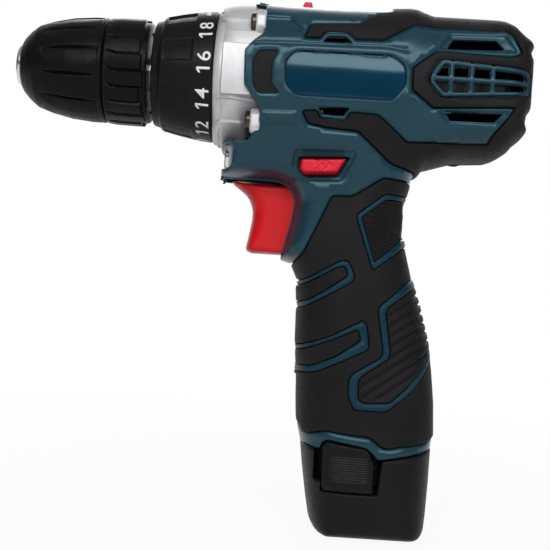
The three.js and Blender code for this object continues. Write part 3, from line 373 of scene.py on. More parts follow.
GRIP_RUBBER = [
    (14, 124.1), (-3.5, 124.2), (-13.6, 117.4), (-20.4, 117.3), (-24, 108.9), (-29.3, 96.7),
    (-32.5, 93.4), (-44, 88), (-44, 42), (-26.9, 38.6), (-24.3, 35.6), (-20.6, 36.8),
    (-17.6, 37.7), (-10.7, 37.1), (-2.8, 36.6), (-0.5, 35), (1.5, 33.4), (4, 33.1), (8.1, 34),
    (13, 34.4), (16.5, 34.9), (20.8, 36.6), (34, 40), (34, 124.1),
]
# Each grip pad: the outline of its raised frame and the outline of the pad within.
KNURLED_PAD = (
    [(-12, 111.2), (-2.4, 119.1), (14, 119.4), (14, 103.2), (5.4, 101.4), (-5.2, 92.8)],
    [(-9.9, 110.6), (-1.8, 117.2), (14, 117.6), (14, 106.4), (4.6, 104), (-4.9, 95.8)],
)
UPPER_FINGER_PAD = (
    [(-36, 86.4), (-29.7, 87.8), (-26.1, 89.4), (-16.2, 95.5), (-13.5, 95.7), (-11.1, 91),
     (-11.7, 88.6), (-18.9, 84.1), (-27.1, 79.1), (-29.1, 78.3), (-36, 77)],
    [(-36, 84.2), (-27.6, 86.9), (-16.8, 93.4), (-14.4, 93.6), (-13.5, 90.5), (-19, 86.4),
     (-25.6, 81.9), (-29.9, 80.3), (-36, 79.4)],
)
LOWER_FINGER_PAD = (
    [(-36, 64.6), (-28.3, 65.7), (-18, 69.8), (-7.4, 75.9), (-6, 74.3), (-4.8, 67.6), (-5.4, 65.8),
     (-14, 61.5), (-22.3, 57.2), (-28.3, 56.1), (-36, 55)],
    [(-36, 62.2), (-27.8, 64), (-12.9, 70.8), (-8.9, 72.7), (-7.7, 69.1), (-15.8, 63.1),
     (-24.1, 59.1), (-36, 57.4)],
)
RIBBED_PAD = (
    [(14, 93), (7.4, 89.5), (-1.6, 81.4), (-2.6, 79.6), (0, 66.2), (-0.5, 63.7), (-9.7, 57.7),
     (-10.9, 55.9), (-10.9, 50.1), (-8.5, 45.5), (2.4, 45.5), (10.5, 52.5), (15.7, 60), (19, 66),
     (28, 74), (28, 93)],
    [(14, 90), (8.3, 86.5), (1.1, 80.9), (0.2, 78.8), (2.4, 66.3), (2.2, 63.6), (-6.9, 56.8),
     (-7.8, 54.7), (-7.4, 49.3), (-5.6, 48), (3.2, 48.6), (9, 54), (13.5, 59.5), (17, 65.5),
     (26, 74), (26, 90)],
)
RIB_ANGLE = math.radians(35)
RIB_PITCH = 3.1
RIB_MIDDLE = np.array([6.0, 66.0])
RIBS_EACH_WAY = 8
RIB_REACH = 34
RIB_HALF = 0.75
KNURL_PITCH = 1.0
KNURL_MARGIN = 0.4
HOUSING_SCREWS = [(-8, 180.8), (24, 137.4), (3, 128), (-50, 128), (-21, 90), (3, 91)]
SCREW_WELL_R = 2.7


def loop_of(corners, radius=0.8):
    return counterclockwise(rounded(corners, radius))


def circle(x, z, radius, count=24):
    angles = np.linspace(0, 2 * math.pi, count, endpoint=False)
    return np.stack([x + radius * np.cos(angles), z + radius * np.sin(angles)], 1)


def grille_holes():
    fence = loop_of(GRILLE_OPENING, 0)
    holes = []
    for left, right in GRILLE_COLUMNS:
        for low, high in GRILLE_ROWS:
            cell = [(left, low), (right, low), (right, high), (left, high)]
            holes.append(loop_of(clipped(cell, fence), 0.7))
    return holes


HOUSING_LOOPS = {
    "body": loop_of(BODY_RUBBER), "ring": loop_of(GRILLE_RING), "panel": loop_of(SIDE_PANEL, 1.6),
    "nose": loop_of(NOSE_PAD, 1), "grip": loop_of(GRIP_RUBBER, 1.2),
}
PADS = [KNURLED_PAD, UPPER_FINGER_PAD, LOWER_FINGER_PAD, RIBBED_PAD]
PAD_LOOPS = [(loop_of(outer, 1.2), loop_of(inner, 0.8)) for outer, inner in PADS]
KNURLED_LOOP, RIBBED_LOOP = PAD_LOOPS[0][1], PAD_LOOPS[3][1]
SOFT_LOOPS = {
    "pocket": loop_of(TOP_POCKET), "bar": loop_of(LOWER_BAR), "upper_slot": loop_of(UPPER_SLOT_RECESS),
    "lower_slot": loop_of(LOWER_SLOT_RECESS), "direction": loop_of(DIRECTION_RECESS, 1.5),
}
REAR_LINE = rounded(TOP_AND_REAR, 0.7, closed=False)
FRONT_LINE = rounded(FRONT_OF_GRIP, 0.7, closed=False)
EDGE_LINE = rounded(FRONT_EDGE, 0.8, closed=False)
RIM_LINE = rounded(BOTTOM_EDGE, 1.2, closed=False)


def rib_lines():
    """Straight grooves across the ribbed pad."""
    along = np.array([math.cos(RIB_ANGLE), math.sin(RIB_ANGLE)])
    across = np.array([-along[1], along[0]])
    lines = []
    for k in range(-RIBS_EACH_WAY, RIBS_EACH_WAY + 1):
        centre = RIB_MIDDLE + across * RIB_PITCH * k
        lines.append(np.stack([centre - along * RIB_REACH, centre + along * RIB_REACH]))
    return lines


def knurl(points):
    """Small pyramids on a square lattice, as a height from zero to one."""
    x, z = (points / KNURL_PITCH).T
    return np.minimum(np.abs((x % 1) - 0.5), np.abs((z % 1) - 0.5)) * 2


def knurl_points(loop):
    """The tips and valleys of the pyramids inside a loop."""
    low, high = loop[:, :2].min(0) / KNURL_PITCH, loop[:, :2].max(0) / KNURL_PITCH
    x, z = np.meshgrid(*(np.arange(math.floor(a), b, 0.5) * KNURL_PITCH for a, b in zip(low, high)))
    points = np.stack([x.ravel(), z.ravel()], 1)
    return points[signed(points, loop) > 0.45]


def housing_domain():
    rear = REAR_LINE[1:-1, :2]
    front = FRONT_LINE[1:, :2]
    return np.concatenate([rear, RIM_LINE[1:-1], front, EDGE_LINE[1:-1]])


SILHOUETTE_ROWS = [0.02, 0.08, 0.2, 0.42, 0.8, 1.3, 2, 3, 4.4, 6.2]
EDGE_ROWS = [0.06, 0.25, 0.6]
BORDER_ROWS = [-0.4, -0.14, 0, 0.14, 0.4, 0.65]
FRAME_ROWS = [-0.5, -0.3, -0.1, 0, 0.1, 0.3]
PAD_ROWS = [-0.3, -0.1, 0, 0.1, 0.3, 0.5]
SOFT_ROWS = [-0.35, 0, 0.35]
HOLE_ROWS = [0.05, 0.22, 0.5]
RIB_ROWS = [-RIB_HALF, -0.3, 0, 0.3, RIB_HALF]
OPENING_DEPTH = 2.6
SCREW_WELL_DEPTH = 7.5


def fold(gap, depth):
    """How far a skin turns inwards near its edge, in millimetres."""
    return np.interp(gap, [0, *EDGE_ROWS], [depth, 0.5, 0.12, 0])


def housing_sheet(side):
    """The left or right side of the housing, triangulated along its lines.

    The right side has the screw wells. The first screw lies under the skin of the shoulder, without a well.
    """
    openings = [loop_of(h, 0.5) for h in (UPPER_SLOT, LOWER_SLOT, UPPER_NOTCH, LOWER_NOTCH)]
    openings += [loop_of(DIRECTION_SLOT, 0.9)] + grille_holes()
    wells = [circle(x, z, SCREW_WELL_R) for x, z in HOUSING_SCREWS[1:]] if side > 0 else []
    sheet = Sheet(housing_domain())
    sheet.holes = openings + wells
    sheet.depths = [OPENING_DEPTH] * len(openings) + [SCREW_WELL_DEPTH] * len(wells)
    sheet.row(sampled(sheet.domain, 1.1)[0], True)
    for line in (REAR_LINE[1:-1], FRONT_LINE[1:]):
        sheet.rings(line, [-d for d in SILHOUETTE_ROWS], 1.1, False)
    for line in (EDGE_LINE, RIM_LINE):
        sheet.rings(line, [-d for d in EDGE_ROWS], 0.9, False)
    for loop in HOUSING_LOOPS.values():
        sheet.rings(loop, BORDER_ROWS, 0.9)
    for outer, inner in PAD_LOOPS:
        sheet.rings(outer, FRAME_ROWS, 0.9)
        sheet.rings(inner, PAD_ROWS, 0.9)
    for loop in SOFT_LOOPS.values():
        sheet.rings(loop, SOFT_ROWS, 1.0)
    for hole in sheet.holes:
        sheet.rings(hole, [-d for d in HOLE_ROWS[::-1]] + [0], 0.6)
    sheet.rings(np.array(CREASE), SOFT_ROWS, 1.1, False)
    for line in rib_lines():
        base, normals = sampled(line, 0.9, False)
        for offset in RIB_ROWS:
            row = base + normals * offset
            sheet.row(row[(signed(row, RIBBED_LOOP) > 0.5) & (signed(row, sheet.domain) > 0.02)])
    lattice = knurl_points(KNURLED_LOOP)
    lattice = lattice[signed(lattice, sheet.domain) > 1.2]
    sheet.points.append(lattice)
    sheet.count += len(lattice)
    sheet.grid(2.0)
    sheet.triangulate()
    return sheet


RUBBER_HEIGHT = 0.45
GROOVE_DEPTH = 1.0
GROOVE_HALF = 0.4
BORDER_HALF = 0.14  # the side panel's colour starts this far inside its outline
CROWN_START = 157.0
CROWN = 0.0115
# Depth of each recess and width of the soft step down to it.
RECESSES = {
    "panel": (0.6, 0.5), "nose": (0.55, 0.5), "pocket": (1.1, 0.8), "upper_slot": (0.75, 0.7),
    "lower_slot": (0.75, 0.7), "direction": (0.9, 1.1),
}


def housing_relief(points, gaps):
    """Height above the plain surface, along its normal."""
    pads = gaps["pads"]
    bands = [np.minimum(outer, -inner) for outer, inner in pads]
    any_band = np.max(bands, 0)
    in_grip = gaps["grip"] > 0
    body = np.minimum(gaps["body"], -gaps["ring"])
    grip = np.minimum(gaps["grip"], -any_band)
    relief = rise(body, RUBBER_HEIGHT, 0.4) + rise(grip, RUBBER_HEIGHT, 0.4)
    for name in ("body", "ring", "grip"):
        relief += groove(gaps[name], GROOVE_DEPTH, GROOVE_HALF)
    for (outer, inner), band in zip(pads, bands):
        frame_relief = rise(band, 0.6, 0.3) + groove(outer, 0.5, 0.28) + groove(inner, 0.7, 0.3)
        relief += np.where(in_grip, frame_relief, 0)
    relief += rise(gaps["ring"], 0.5, 0.4)
    for name, (depth, width) in RECESSES.items():
        relief -= ramp(gaps[name], depth, width)
    relief -= CROWN * np.clip(points[:, 1] - CROWN_START, 0, 8) ** 2 * (gaps["panel"] > BORDER_HALF)
    relief += rise(0.8 - np.abs(gaps["panel"] + 0.9), 0.15, 0.8)
    relief += rise(0.9 - np.abs(gaps["nose"] + 1.1), 0.3, 0.5)
    relief += rise(gaps["bar"], 0.9, 1.6)
    relief += groove(gaps["crease"], 0.3, 0.35)
    ribs = gaps["ribs"] / RIB_HALF
    in_ribs = np.clip((pads[3][1] - 0.5) / 0.6, 0, 1)
    relief += in_ribs * np.where(ribs < 1, -RIB_HALF * np.sqrt(np.clip(1 - ribs**2, 0, 1)), 0.1)
    in_knurl = np.clip((pads[0][1] - KNURL_MARGIN) / 0.4, 0, 1)
    relief += in_knurl * (0.5 * knurl(points) - 0.5)
    return relief


def housing_gaps(points):
    """Distance of each point to the border of every feature, positive inside it."""
    gaps = {name: signed(points, loop) for name, loop in {**HOUSING_LOOPS, **SOFT_LOOPS}.items()}
    gaps["pads"] = [(signed(points, outer), signed(points, inner)) for outer, inner in PAD_LOOPS]
    gaps["crease"] = nearest(points, np.array(CREASE), False)[0].min(1)
    gaps["ribs"] = np.min([nearest(points, line, False)[0].min(1) for line in rib_lines()], 0)
    return gaps


EDGE_FOLD = 2.4
# For each opening across the joint line: its reach in x and in z, and half its width.
JOINT_OPENINGS = {
    "trigger": ((-math.inf, -30), (95.6, 122.6), 9.2),
    "selector": ((-41.6, -29.4), (180, math.inf), 5.2),
}


def least_width(points):
    """How near the surface may come to the middle plane: openings for the trigger and the speed selector."""
    least = np.full(len(points), SEAM)
    for across, up, half in JOINT_OPENINGS.values():
        low, high = np.array([across, up]).T
        least[((points > low) & (points < high)).all(1)] = half
    return least


def housing_places(sheet):
    """Vertex places of a housing side, as if it were the left one."""
    points = sheet.flat
    widths = np.interp(points[:, 1], *np.array(SIDE_WIDTHS).T)
    half, normal = pillow(points, [REAR_LINE, FRONT_LINE], widths, SIDE_POWER)
    places = np.stack([points[:, 0], -half, points[:, 1]], 1)
    places += normal * housing_relief(points, housing_gaps(points))[:, None]
    edge = np.min([nearest(points, line, False)[0].min(1) for line in (EDGE_LINE, RIM_LINE)], 0)
    inward = fold(edge, EDGE_FOLD)
    for hole, depth in zip(sheet.holes, sheet.depths):
        gap = np.maximum(-signed(points, hole), 0)
        inward = np.maximum(inward, np.interp(gap, [0, *HOLE_ROWS], [depth, 0.4, 0.1, 0]))
    places[:, 1] = np.minimum(places[:, 1] + inward, -least_width(points))
    return places


def linked(name, data):
    """An object in the scene that shows a mesh, a text, a lamp or the camera."""
    made = bpy.data.objects.new(name, data)
    bpy.context.collection.objects.link(made)
    return made


def sheet_mesh(name, places, faces, side, flat):
    """A mesh object from part of a sheet. The left side's places are mirrored for the right one."""
    used, index = np.unique(faces, return_inverse=True)
    points = places[used] * MM
    triangles = index.reshape(-1, 3)
    if side > 0:
        points = points * [1, -1, 1]
        triangles = triangles[:, ::-1]
    mesh = bpy.data.meshes.new(name)
    mesh.from_pydata(points.tolist(), [], triangles.tolist())
    mesh.polygons.foreach_set("use_smooth", (~flat).tolist())
    mesh.update()
    return linked(name, mesh)


# ---------------------------------------------------------------- materials


def linear(red, green, blue):
    """A colour given as 0-255 screen values."""
    return tuple(
        (v / 255 / 12.92) if v / 255 <= 0.04045 else ((v / 255 + 0.055) / 1.055) ** 2.4
        for v in (red, green, blue)
    ) + (1.0,)


def map_range(tree, value, source, target):
    """Maps a value from one range to another and holds it there."""
    made = tree.nodes.new("ShaderNodeMapRange")
    for socket, number in zip(("From Min", "From Max", "To Min", "To Max"), (*source, *target)):
        made.inputs[socket].default_value = number
    tree.links.new(value, made.inputs["Value"])
    return made.outputs["Result"]


WHITE = (1, 1, 1, 1)
TEAL_SHEEN = (0.58, 0.9, 1, 1)
CAST_METALLIC = 0.55
PER_METRE = 1000


class Look:
    """A node material whose colour, roughness and bump are built up step by step, in millimetres."""

    def __init__(self, name, metallic=0.0, **settings):
        self.material = bpy.data.materials.new(name)
        self.material.use_nodes = True
        self.tree = self.material.node_tree
        self.shader = self.tree.nodes["Principled BSDF"]
        self.shader.inputs["Metallic"].default_value = metallic
        for socket, value in settings.items():
            self.shader.inputs[socket.replace("_", " ")].default_value = value
        place = self.node("ShaderNodeTexCoord")
        scale = self.node("ShaderNodeVectorMath", operation="SCALE")
        scale.inputs["Scale"].default_value = PER_METRE
        self.link(place.outputs["Object"], scale.inputs[0])
        self.place = scale.outputs[0]
        self.normal = None

    def node(self, kind, **settings):
        made = self.tree.nodes.new(kind)
        for key, value in settings.items():
            setattr(made, key, value)
        return made

    def link(self, a, b):
        self.tree.links.new(a, b)

    def stretched(self, x, y, z):
        made = self.node("ShaderNodeMapping")
        made.inputs["Scale"].default_value = (x, y, z)
        self.link(self.place, made.inputs["Vector"])
        return made.outputs["Vector"]

    def noise(self, per_mm, detail=3.0, roughness=0.55, place=None, distortion=0.0):
        made = self.node("ShaderNodeTexNoise")
        made.inputs["Scale"].default_value = per_mm
        made.inputs["Detail"].default_value = detail
        made.inputs["Roughness"].default_value = roughness
        made.inputs["Distortion"].default_value = distortion
        self.link(place or self.place, made.inputs["Vector"])
        return made.outputs["Fac"]

    def cells(self, per_mm, place=None):
        made = self.node("ShaderNodeTexVoronoi")
        made.inputs["Scale"].default_value = per_mm
        self.link(place or self.place, made.inputs["Vector"])
        return made.outputs["Distance"]

    def ramp(self, value, *stops):
        """Colours along a value from 0 to 1."""
        made = self.node("ShaderNodeValToRGB")
        band = made.color_ramp
        while len(band.elements) < len(stops):
            band.elements.new(0.5)
        for element, (at, colour) in zip(band.elements, stops):
            element.position = at
            element.color = colour
        self.link(value, made.inputs["Fac"])
        return made.outputs["Color"]

    def mapped(self, value, low, high, start=0.3, end=0.7):
        return map_range(self.tree, value, (start, end), (low, high))

    def mix(self, share, value, other):
        """A value mixed with a fixed colour."""
        made = self.node("ShaderNodeMix", data_type="RGBA")
        self.link(share, made.inputs["Factor"])
        self.link(value, made.inputs["A"])
        made.inputs["B"].default_value = other
        return made.outputs["Result"]

    def colour(self, value):
        self.link(value, self.shader.inputs["Base Color"])

    def roughness(self, value):
        self.link(value, self.shader.inputs["Roughness"])

    def bump(self, height, distance_mm):
        """Adds relief on top of the relief so far."""
        made = self.node("ShaderNodeBump")
        made.inputs["Strength"].default_value = 1
        made.inputs["Distance"].default_value = distance_mm * MM
        self.link(height, made.inputs["Height"])
        if self.normal:
            self.link(self.normal, made.inputs["Normal"])
        self.normal = made.outputs["Normal"]
        self.link(self.normal, self.shader.inputs["Normal"])

    def worn_edges(self, value, worn, amount=0.5):
        """Sharp edges rubbed towards a second colour, broken up by noise."""
        sharp = self.node("ShaderNodeNewGeometry").outputs["Pointiness"]
        edge = self.mapped(sharp, 0, 1, 0.52, 0.62)
        patch = self.mapped(self.noise(0.9, 4), 0, amount, 0.35, 0.7)
        both = self.node("ShaderNodeMath", operation="MULTIPLY")
        self.link(edge, both.inputs[0])
        self.link(patch, both.inputs[1])
        return self.mix(both.outputs[0], value, worn)


def moulded_plastic(name, dark, light, rough=(0.36, 0.48), grain=0.02, specular=0.2, tint=WHITE):
    """Satin injection-moulded plastic with a fine spark-eroded grain."""
    look = Look(name, Specular_IOR_Level=specular, Specular_Tint=tint)
    tone = look.noise(0.035, 4)
    colour = look.ramp(tone, (0.3, dark), (0.7, light))
    worn = tuple(min(1, 1.35 * v + 0.02) for v in light[:3]) + (1,)
    look.colour(look.worn_edges(colour, worn, 0.35))
    look.roughness(look.mapped(look.noise(0.5, 5), rough[0], rough[1]))
    look.bump(look.noise(3.2, 2), grain)
    look.bump(look.noise(0.05, 2), 0.12)
    return look.material


def rubber(name, dark, light, grain=0.05):
    """Over-moulded soft rubber with a matt, lightly pebbled skin and a little dust in it."""
    look = Look(name, Specular_IOR_Level=0.1)
    tone = look.noise(0.06, 5)
    colour = look.ramp(tone, (0.3, dark), (0.72, light))
    dust = look.mapped(look.noise(1.7, 6, 0.7), 0, 0.14, 0.52, 0.8)
    look.colour(look.mix(dust, colour, linear(70, 69, 71)))
    look.roughness(look.mapped(look.noise(0.8, 5), 0.5, 0.68))
    look.bump(look.cells(1.9), grain)
    look.bump(look.noise(4.5, 2), 0.02)
    return look.material


def gloss_plastic(name, dark, light, rough=(0.1, 0.17), specular=0.3, tint=WHITE):
    """Polished plastic with faint flow marks and hairline scuffs."""
    look = Look(name, Specular_IOR_Level=specular, Specular_Tint=tint)
    look.colour(look.ramp(look.noise(0.05, 3), (0.3, dark), (0.7, light)))
    scuffs = look.noise(1.0, 6, 0.75, look.stretched(0.6, 1, 7), 0.4)
    look.roughness(look.mapped(scuffs, rough[0], rough[1], 0.4, 0.75))
    look.bump(look.noise(0.06, 2), 0.1)
    look.bump(scuffs, 0.004)
    return look.material


def cast_metal(name, dark, light, rough=(0.5, 0.6), grain=0.05):
    """Die-cast aluminium: a soft bead-blasted grain with slight tonal clouds."""
    look = Look(name, metallic=CAST_METALLIC)
    colour = look.ramp(look.noise(0.07, 5), (0.3, dark), (0.7, light))
    look.colour(look.worn_edges(colour, (0.95, 0.95, 0.96, 1), 0.6))
    look.roughness(look.mapped(look.noise(0.6, 5), rough[0], rough[1]))
    look.bump(look.noise(2.2, 4, 0.6), grain)
    look.bump(look.noise(0.12, 2), 0.12)
    return look.material


def turned_metal(name, dark, light, rough=(0.16, 0.28)):
    """Steel turned on a lathe about the spindle: fine rings around the axis and a few handling marks."""
    look = Look(name, metallic=1.0, Anisotropic=0.4)
    lines = look.noise(9, 3, 0.6, look.stretched(1, 0.02, 0.02))
    colour = look.ramp(look.noise(0.12, 5), (0.32, dark), (0.7, light))
    look.colour(look.worn_edges(colour, (0.9, 0.9, 0.91, 1), 0.5))
    marks = look.noise(0.9, 6, 0.7, None, 0.8)
    look.roughness(look.mapped(marks, rough[0], rough[1]))
    look.bump(lines, 0.008)
    look.bump(look.noise(0.25, 3), 0.03)
    return look.material


def drawn_metal(name, dark, light, rough=(0.24, 0.4), grain=0.01):
    """Ground steel with a fine grain along its length."""
    look = Look(name, metallic=1.0)
    lines = look.noise(2.4, 4, 0.6, look.stretched(0.15, 2, 2))
    look.colour(look.ramp(look.noise(0.2, 4), (0.3, dark), (0.7, light)))
    look.roughness(look.mapped(lines, rough[0], rough[1]))
    look.bump(lines, grain)
    return look.material


def clear_plastic(name, tint):
    """Clear plastic with fine flutes along it."""
    look = Look(name, Transmission_Weight=0.85, IOR=1.49, Coat_Weight=0.3)
    darker = tuple(0.93 * v for v in tint[:3]) + (1,)
    look.colour(look.ramp(look.noise(0.2, 3), (0.3, tint), (0.7, darker)))
    look.roughness(look.mapped(look.noise(0.8, 4), 0.04, 0.14))
    look.bump(look.cells(0.8, look.stretched(0.02, 1, 1)), 0.05)
    return look.material


def printed_wrap(name, dark, light):
    """The shrink wrap of a battery cell: smooth, with drawn wrinkles along the cell."""
    look = Look(name, Coat_Weight=0.2, Coat_Roughness=0.2)
    look.colour(look.ramp(look.noise(0.09, 4), (0.3, dark), (0.7, light)))
    creases = look.noise(0.8, 4, 0.6, look.stretched(1.4, 1.4, 0.2), 0.5)
    look.roughness(look.mapped(creases, 0.25, 0.4))
    look.bump(creases, 0.06)
    return look.material


LOOKS = {
    "teal": moulded_plastic(
        "housing_teal", linear(15, 42, 53), linear(20, 50, 61), (0.26, 0.36), 0.01, 0.36, TEAL_SHEEN,
    ),
    "frame": moulded_plastic(
        "frame_teal", linear(12, 38, 49), linear(17, 46, 58), (0.34, 0.46), 0.02, 0.12, TEAL_SHEEN,
    ),
    "panel": gloss_plastic("housing_panel", linear(3, 36, 53), linear(6, 43, 62), tint=TEAL_SHEEN),
    "rubber": rubber("soft_rubber", linear(18, 18, 19), linear(26, 25, 27)),
    "black": moulded_plastic("black_plastic", linear(12, 12, 13), linear(18, 18, 19), (0.42, 0.56), 0.02),
    "battery": moulded_plastic(
        "battery_plastic", linear(15, 14, 15), linear(21, 20, 21), (0.4, 0.52), 0.04, 0.13,
    ),
    "red": moulded_plastic("trigger_red", linear(168, 11, 18), linear(186, 16, 24), (0.3, 0.42), 0.015),
    "button": moulded_plastic("button_red", linear(186, 16, 38), linear(202, 24, 48), (0.28, 0.4), 0.012),
    "cast": cast_metal("cast_aluminium", linear(178, 178, 180), linear(194, 194, 196)),
    "bright": turned_metal("bright_steel", linear(196, 197, 200), linear(222, 222, 225)),
    "dark_steel": drawn_metal("dark_steel", linear(64, 62, 60), linear(92, 90, 88)),
    # blued steel for the chuck body, kept near-black partly as painted shade, so the gap behind the chuck
    # reads dark
    "blued_and_gap_shade": drawn_metal("blued_steel_and_gap_shade", linear(14, 14, 16), linear(26, 26, 28), (0.34, 0.5)),
    "screw": drawn_metal("bronzed_screw", linear(60, 54, 47), linear(88, 79, 68), (0.26, 0.42), 0.02),
    "chuck_black": moulded_plastic(
        "chuck_black", linear(8, 8, 9), linear(13, 13, 14), (0.34, 0.46), 0.012, 0.09,
    ),
    # near-black: painted shade for the floors of the battery latch pockets
    "pocket": moulded_plastic("pocket_painted_shade", linear(3, 3, 3), linear(6, 6, 6), (0.5, 0.6), 0.02, 0.08),
    "latch": moulded_plastic(
        "latch_plastic", linear(14, 13, 14), linear(19, 18, 19), (0.4, 0.52), 0.03, 0.13,
    ),
    "led": gloss_plastic("lamp_plastic", linear(206, 204, 190), linear(232, 230, 214), specular=0.45),
    # darkened steel: painted shade, so the motor can seen through the vents reads dark
    "can": drawn_metal("motor_can_steel_painted_shade", linear(44, 45, 47), linear(66, 67, 69)),
    "collar": moulded_plastic(
        "collar_plastic", linear(13, 13, 14), linear(19, 19, 21), (0.34, 0.46), 0.015, 0.1,
    ),
    "ink": moulded_plastic(
        "printed_marks", linear(188, 190, 192), linear(208, 210, 212), (0.42, 0.55), 0.004,
    ),
    "lens": clear_plastic("lens_plastic", linear(236, 240, 244)),
    "wrap": printed_wrap("cell_wrap", linear(34, 84, 128), linear(44, 98, 142)),
    "brass": drawn_metal("brass_contacts", linear(190, 152, 84), linear(214, 178, 104)),
    "winding": drawn_metal("motor_winding", linear(160, 92, 52), linear(196, 122, 74)),
}


def dressed(piece, look, body, slot, *nodes):
    """Gives a piece its material, its body and the nodes that it stands for."""
    piece.data.materials.append(LOOKS[look])
    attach(piece, body)
    if nodes:
        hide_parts(*nodes)
    return piece


# ---------------------------------------------------------------- the housing's pieces


def housing_zones(middles):
    """The name of the region that each face belongs to."""
    gaps = housing_gaps(middles)
    outers = np.max([outer for outer, _ in gaps["pads"]], 0)
    inners = np.max([inner for _, inner in gaps["pads"]], 0)
    zone = np.full(len(middles), "teal", dtype=object)
    zone[(gaps["body"] > 0) & (gaps["ring"] < 0)] = "body"
    zone[(gaps["grip"] > 0) & (outers < 0)] = "grip"
    zone[(gaps["grip"] > 0) & (outers > 0) & (inners < 0)] = "frame"
    zone[(gaps["grip"] > 0) & (inners > 0)] = "grip"
    zone[gaps["panel"] > BORDER_HALF] = "panel"
    zone[gaps["nose"] > 0] = "nose"
    return zone


# For each region: its pieces' name, look and slot, and the nodes that they stand for.
ZONE_PARTS = {
    "teal": ("shell", "teal", "blue_plastic", "housing"),
    "body": ("body_grip", "rubber", "black_rubber", "body_rubber"),
    "grip": ("handle_grip", "rubber", "black_rubber", "grip_rubber"),
    "frame": ("grip_frames", "frame", "blue_plastic", None),
    "panel": ("side_panel", "panel", "blue_plastic", None),
    "nose": ("nose_pad", "rubber", "black_rubber", "nose_pad"),
}
WALL = 1.5


def walled(piece):
    """Gives a moulded skin its thickness, inwards."""
    wall = piece.modifiers.new("wall", "SOLIDIFY")
    wall.thickness = WALL * MM
    wall.offset = -1
    return piece


def make_housing():
    for side, word in ((-1, "left"), (1, "right")):
        sheet = housing_sheet(side)
        places = housing_places(sheet)
        holes = np.max([signed(sheet.middles, hole) for hole in sheet.holes], 0)
        zones = housing_zones(sheet.middles)
        knurled = signed(sheet.middles, KNURLED_LOOP) > KNURL_MARGIN
        for zone, (name, look, slot, node) in ZONE_PARTS.items():
            chosen = (zones == zone) & (holes < 0)
            piece = sheet_mesh(f"{name}_{word}", places, sheet.faces[chosen], side, knurled[chosen])
            nodes = [f"{node}_{word}"] if node else []
            dressed(walled(piece), look, "housing", slot, *nodes)


# ---------------------------------------------------------------- mesh helpers


def mesh_object(name, points, faces, smooth=True):
    """A mesh object from points in millimetres, with its faces turned outwards."""
    mesh = bpy.data.meshes.new(name)
    mesh.from_pydata((np.asarray(points) * MM).tolist(), [], faces)
    shape = bmesh.new()
    shape.from_mesh(mesh)
    bmesh.ops.remove_doubles(shape, verts=shape.verts, dist=1e-7)
    bmesh.ops.recalc_face_normals(shape, faces=shape.faces)
    for face in shape.faces:
        face.smooth = smooth
    shape.to_mesh(mesh)
    shape.free()
    return linked(name, mesh)


def creased(piece, angle=32):
    """Keeps edges sharper than an angle crisp under smooth shading."""
    shape = bmesh.new()
    shape.from_mesh(piece.data)
    limit = math.radians(angle)
    for edge in shape.edges:
        edge.smooth = len(edge.link_faces) == 2 and edge.calc_face_angle(0) < limit
    shape.to_mesh(piece.data)
    shape.free()
    return piece


def bevelled(piece, width):
    bevel = piece.modifiers.new("edges", "BEVEL")
    bevel.width = width * MM
    bevel.segments = 3
    bevel.limit_method = "ANGLE"
    bevel.angle_limit = math.radians(30)
    bevel.harden_normals = True
    return piece


def resampled(line, step):
    """An open line cut into pieces no longer than a step, corners kept."""
    points = [line[0]]
    for a, b in zip(line, line[1:]):
        count = max(1, math.ceil(np.hypot(*(b - a)) / step))
        points += [a + (b - a) * k / count for k in range(1, count + 1)]
    return np.array(points)


def turned(name, outer, inner, count, carve=None, axis=(0, SPINDLE_Z), step=0.5):
    """A ring around an axis along X. Its outer line runs front to rear and its inner line closes the section.

    Angles run from the top towards the left side. The carving changes the outer line's radius at each angle.
    """
    outer = resampled(rounded(outer, 0.6, closed=False), step)
    profile = np.concatenate([outer, np.array(inner, float)[::-1]])
    angles = np.linspace(0, 2 * math.pi, count, endpoint=False)
    x = np.repeat(profile[:, :1], count, 1)
    radius = np.repeat(profile[:, 1:], count, 1)
    if carve:
        n = len(outer)
        x[:n], radius[:n] = carve(x[:n], radius[:n], np.degrees(angles)[None, :])
    y = axis[0] - radius * np.sin(angles)
    z = axis[1] + radius * np.cos(angles)
    points = np.stack([x, y, z], 2).reshape(-1, 3)
    faces = []
    rows = len(profile)
    for i in range(rows):
        k = (i + 1) % rows
        for j in range(count):
            m = (j + 1) % count
            faces.append((i * count + j, k * count + j, k * count + m, i * count + m))
    return mesh_object(name, points, faces)


def two_skins(name, front, back, faces):
    """A closed piece between two skins with the same triangles, which meet along their border."""
    both = np.concatenate([faces, faces[:, ::-1] + len(front)])
    return mesh_object(name, np.concatenate([front, back]), both.tolist())


def period(angle, first, pitch):
    """Degrees from the middle of the nearest of a row of evenly spaced features."""
    return (angle - first + pitch / 2) % pitch - pitch / 2


# ---------------------------------------------------------------- chuck

FRONT_SLEEVE = [
    (-132.2, 7.6), (-132.3, 8.3), (-131.5, 9.9), (-129.1, 12.4), (-126.4, 14.5), (-121.3, 16.2),
    (-114.5, 17.7), (-107, 18.4), (-102.5, 18.45), (-101.9, 18),
]
FRONT_SLEEVE_INNER = [(-131, 7.8), (-125, 13), (-116, 15.6), (-101.9, 16.6)]
REAR_SLEEVE = [(-101.6, 18), (-101.2, 18.45), (-90, 18.6), (-87, 18.6), (-86.6, 18.2)]
REAR_SLEEVE_INNER = [(-101.6, 14.3), (-86.6, 14.3)]
SCALLOPS = 12
SCALLOP_ANGLE = 86.5
SCALLOP_HALF = 12.5
SCALLOP_X = -113.4
SCALLOP_REACH = 10.6
SCALLOP_DEPTH = 0.6
SLOT_HALF = 2.2
SLOT_DEPTH = 1.3
LANDS = 20
LAND_ANGLE = 9
LAND_ENDS = (-89.2, -88.5, -87.7)
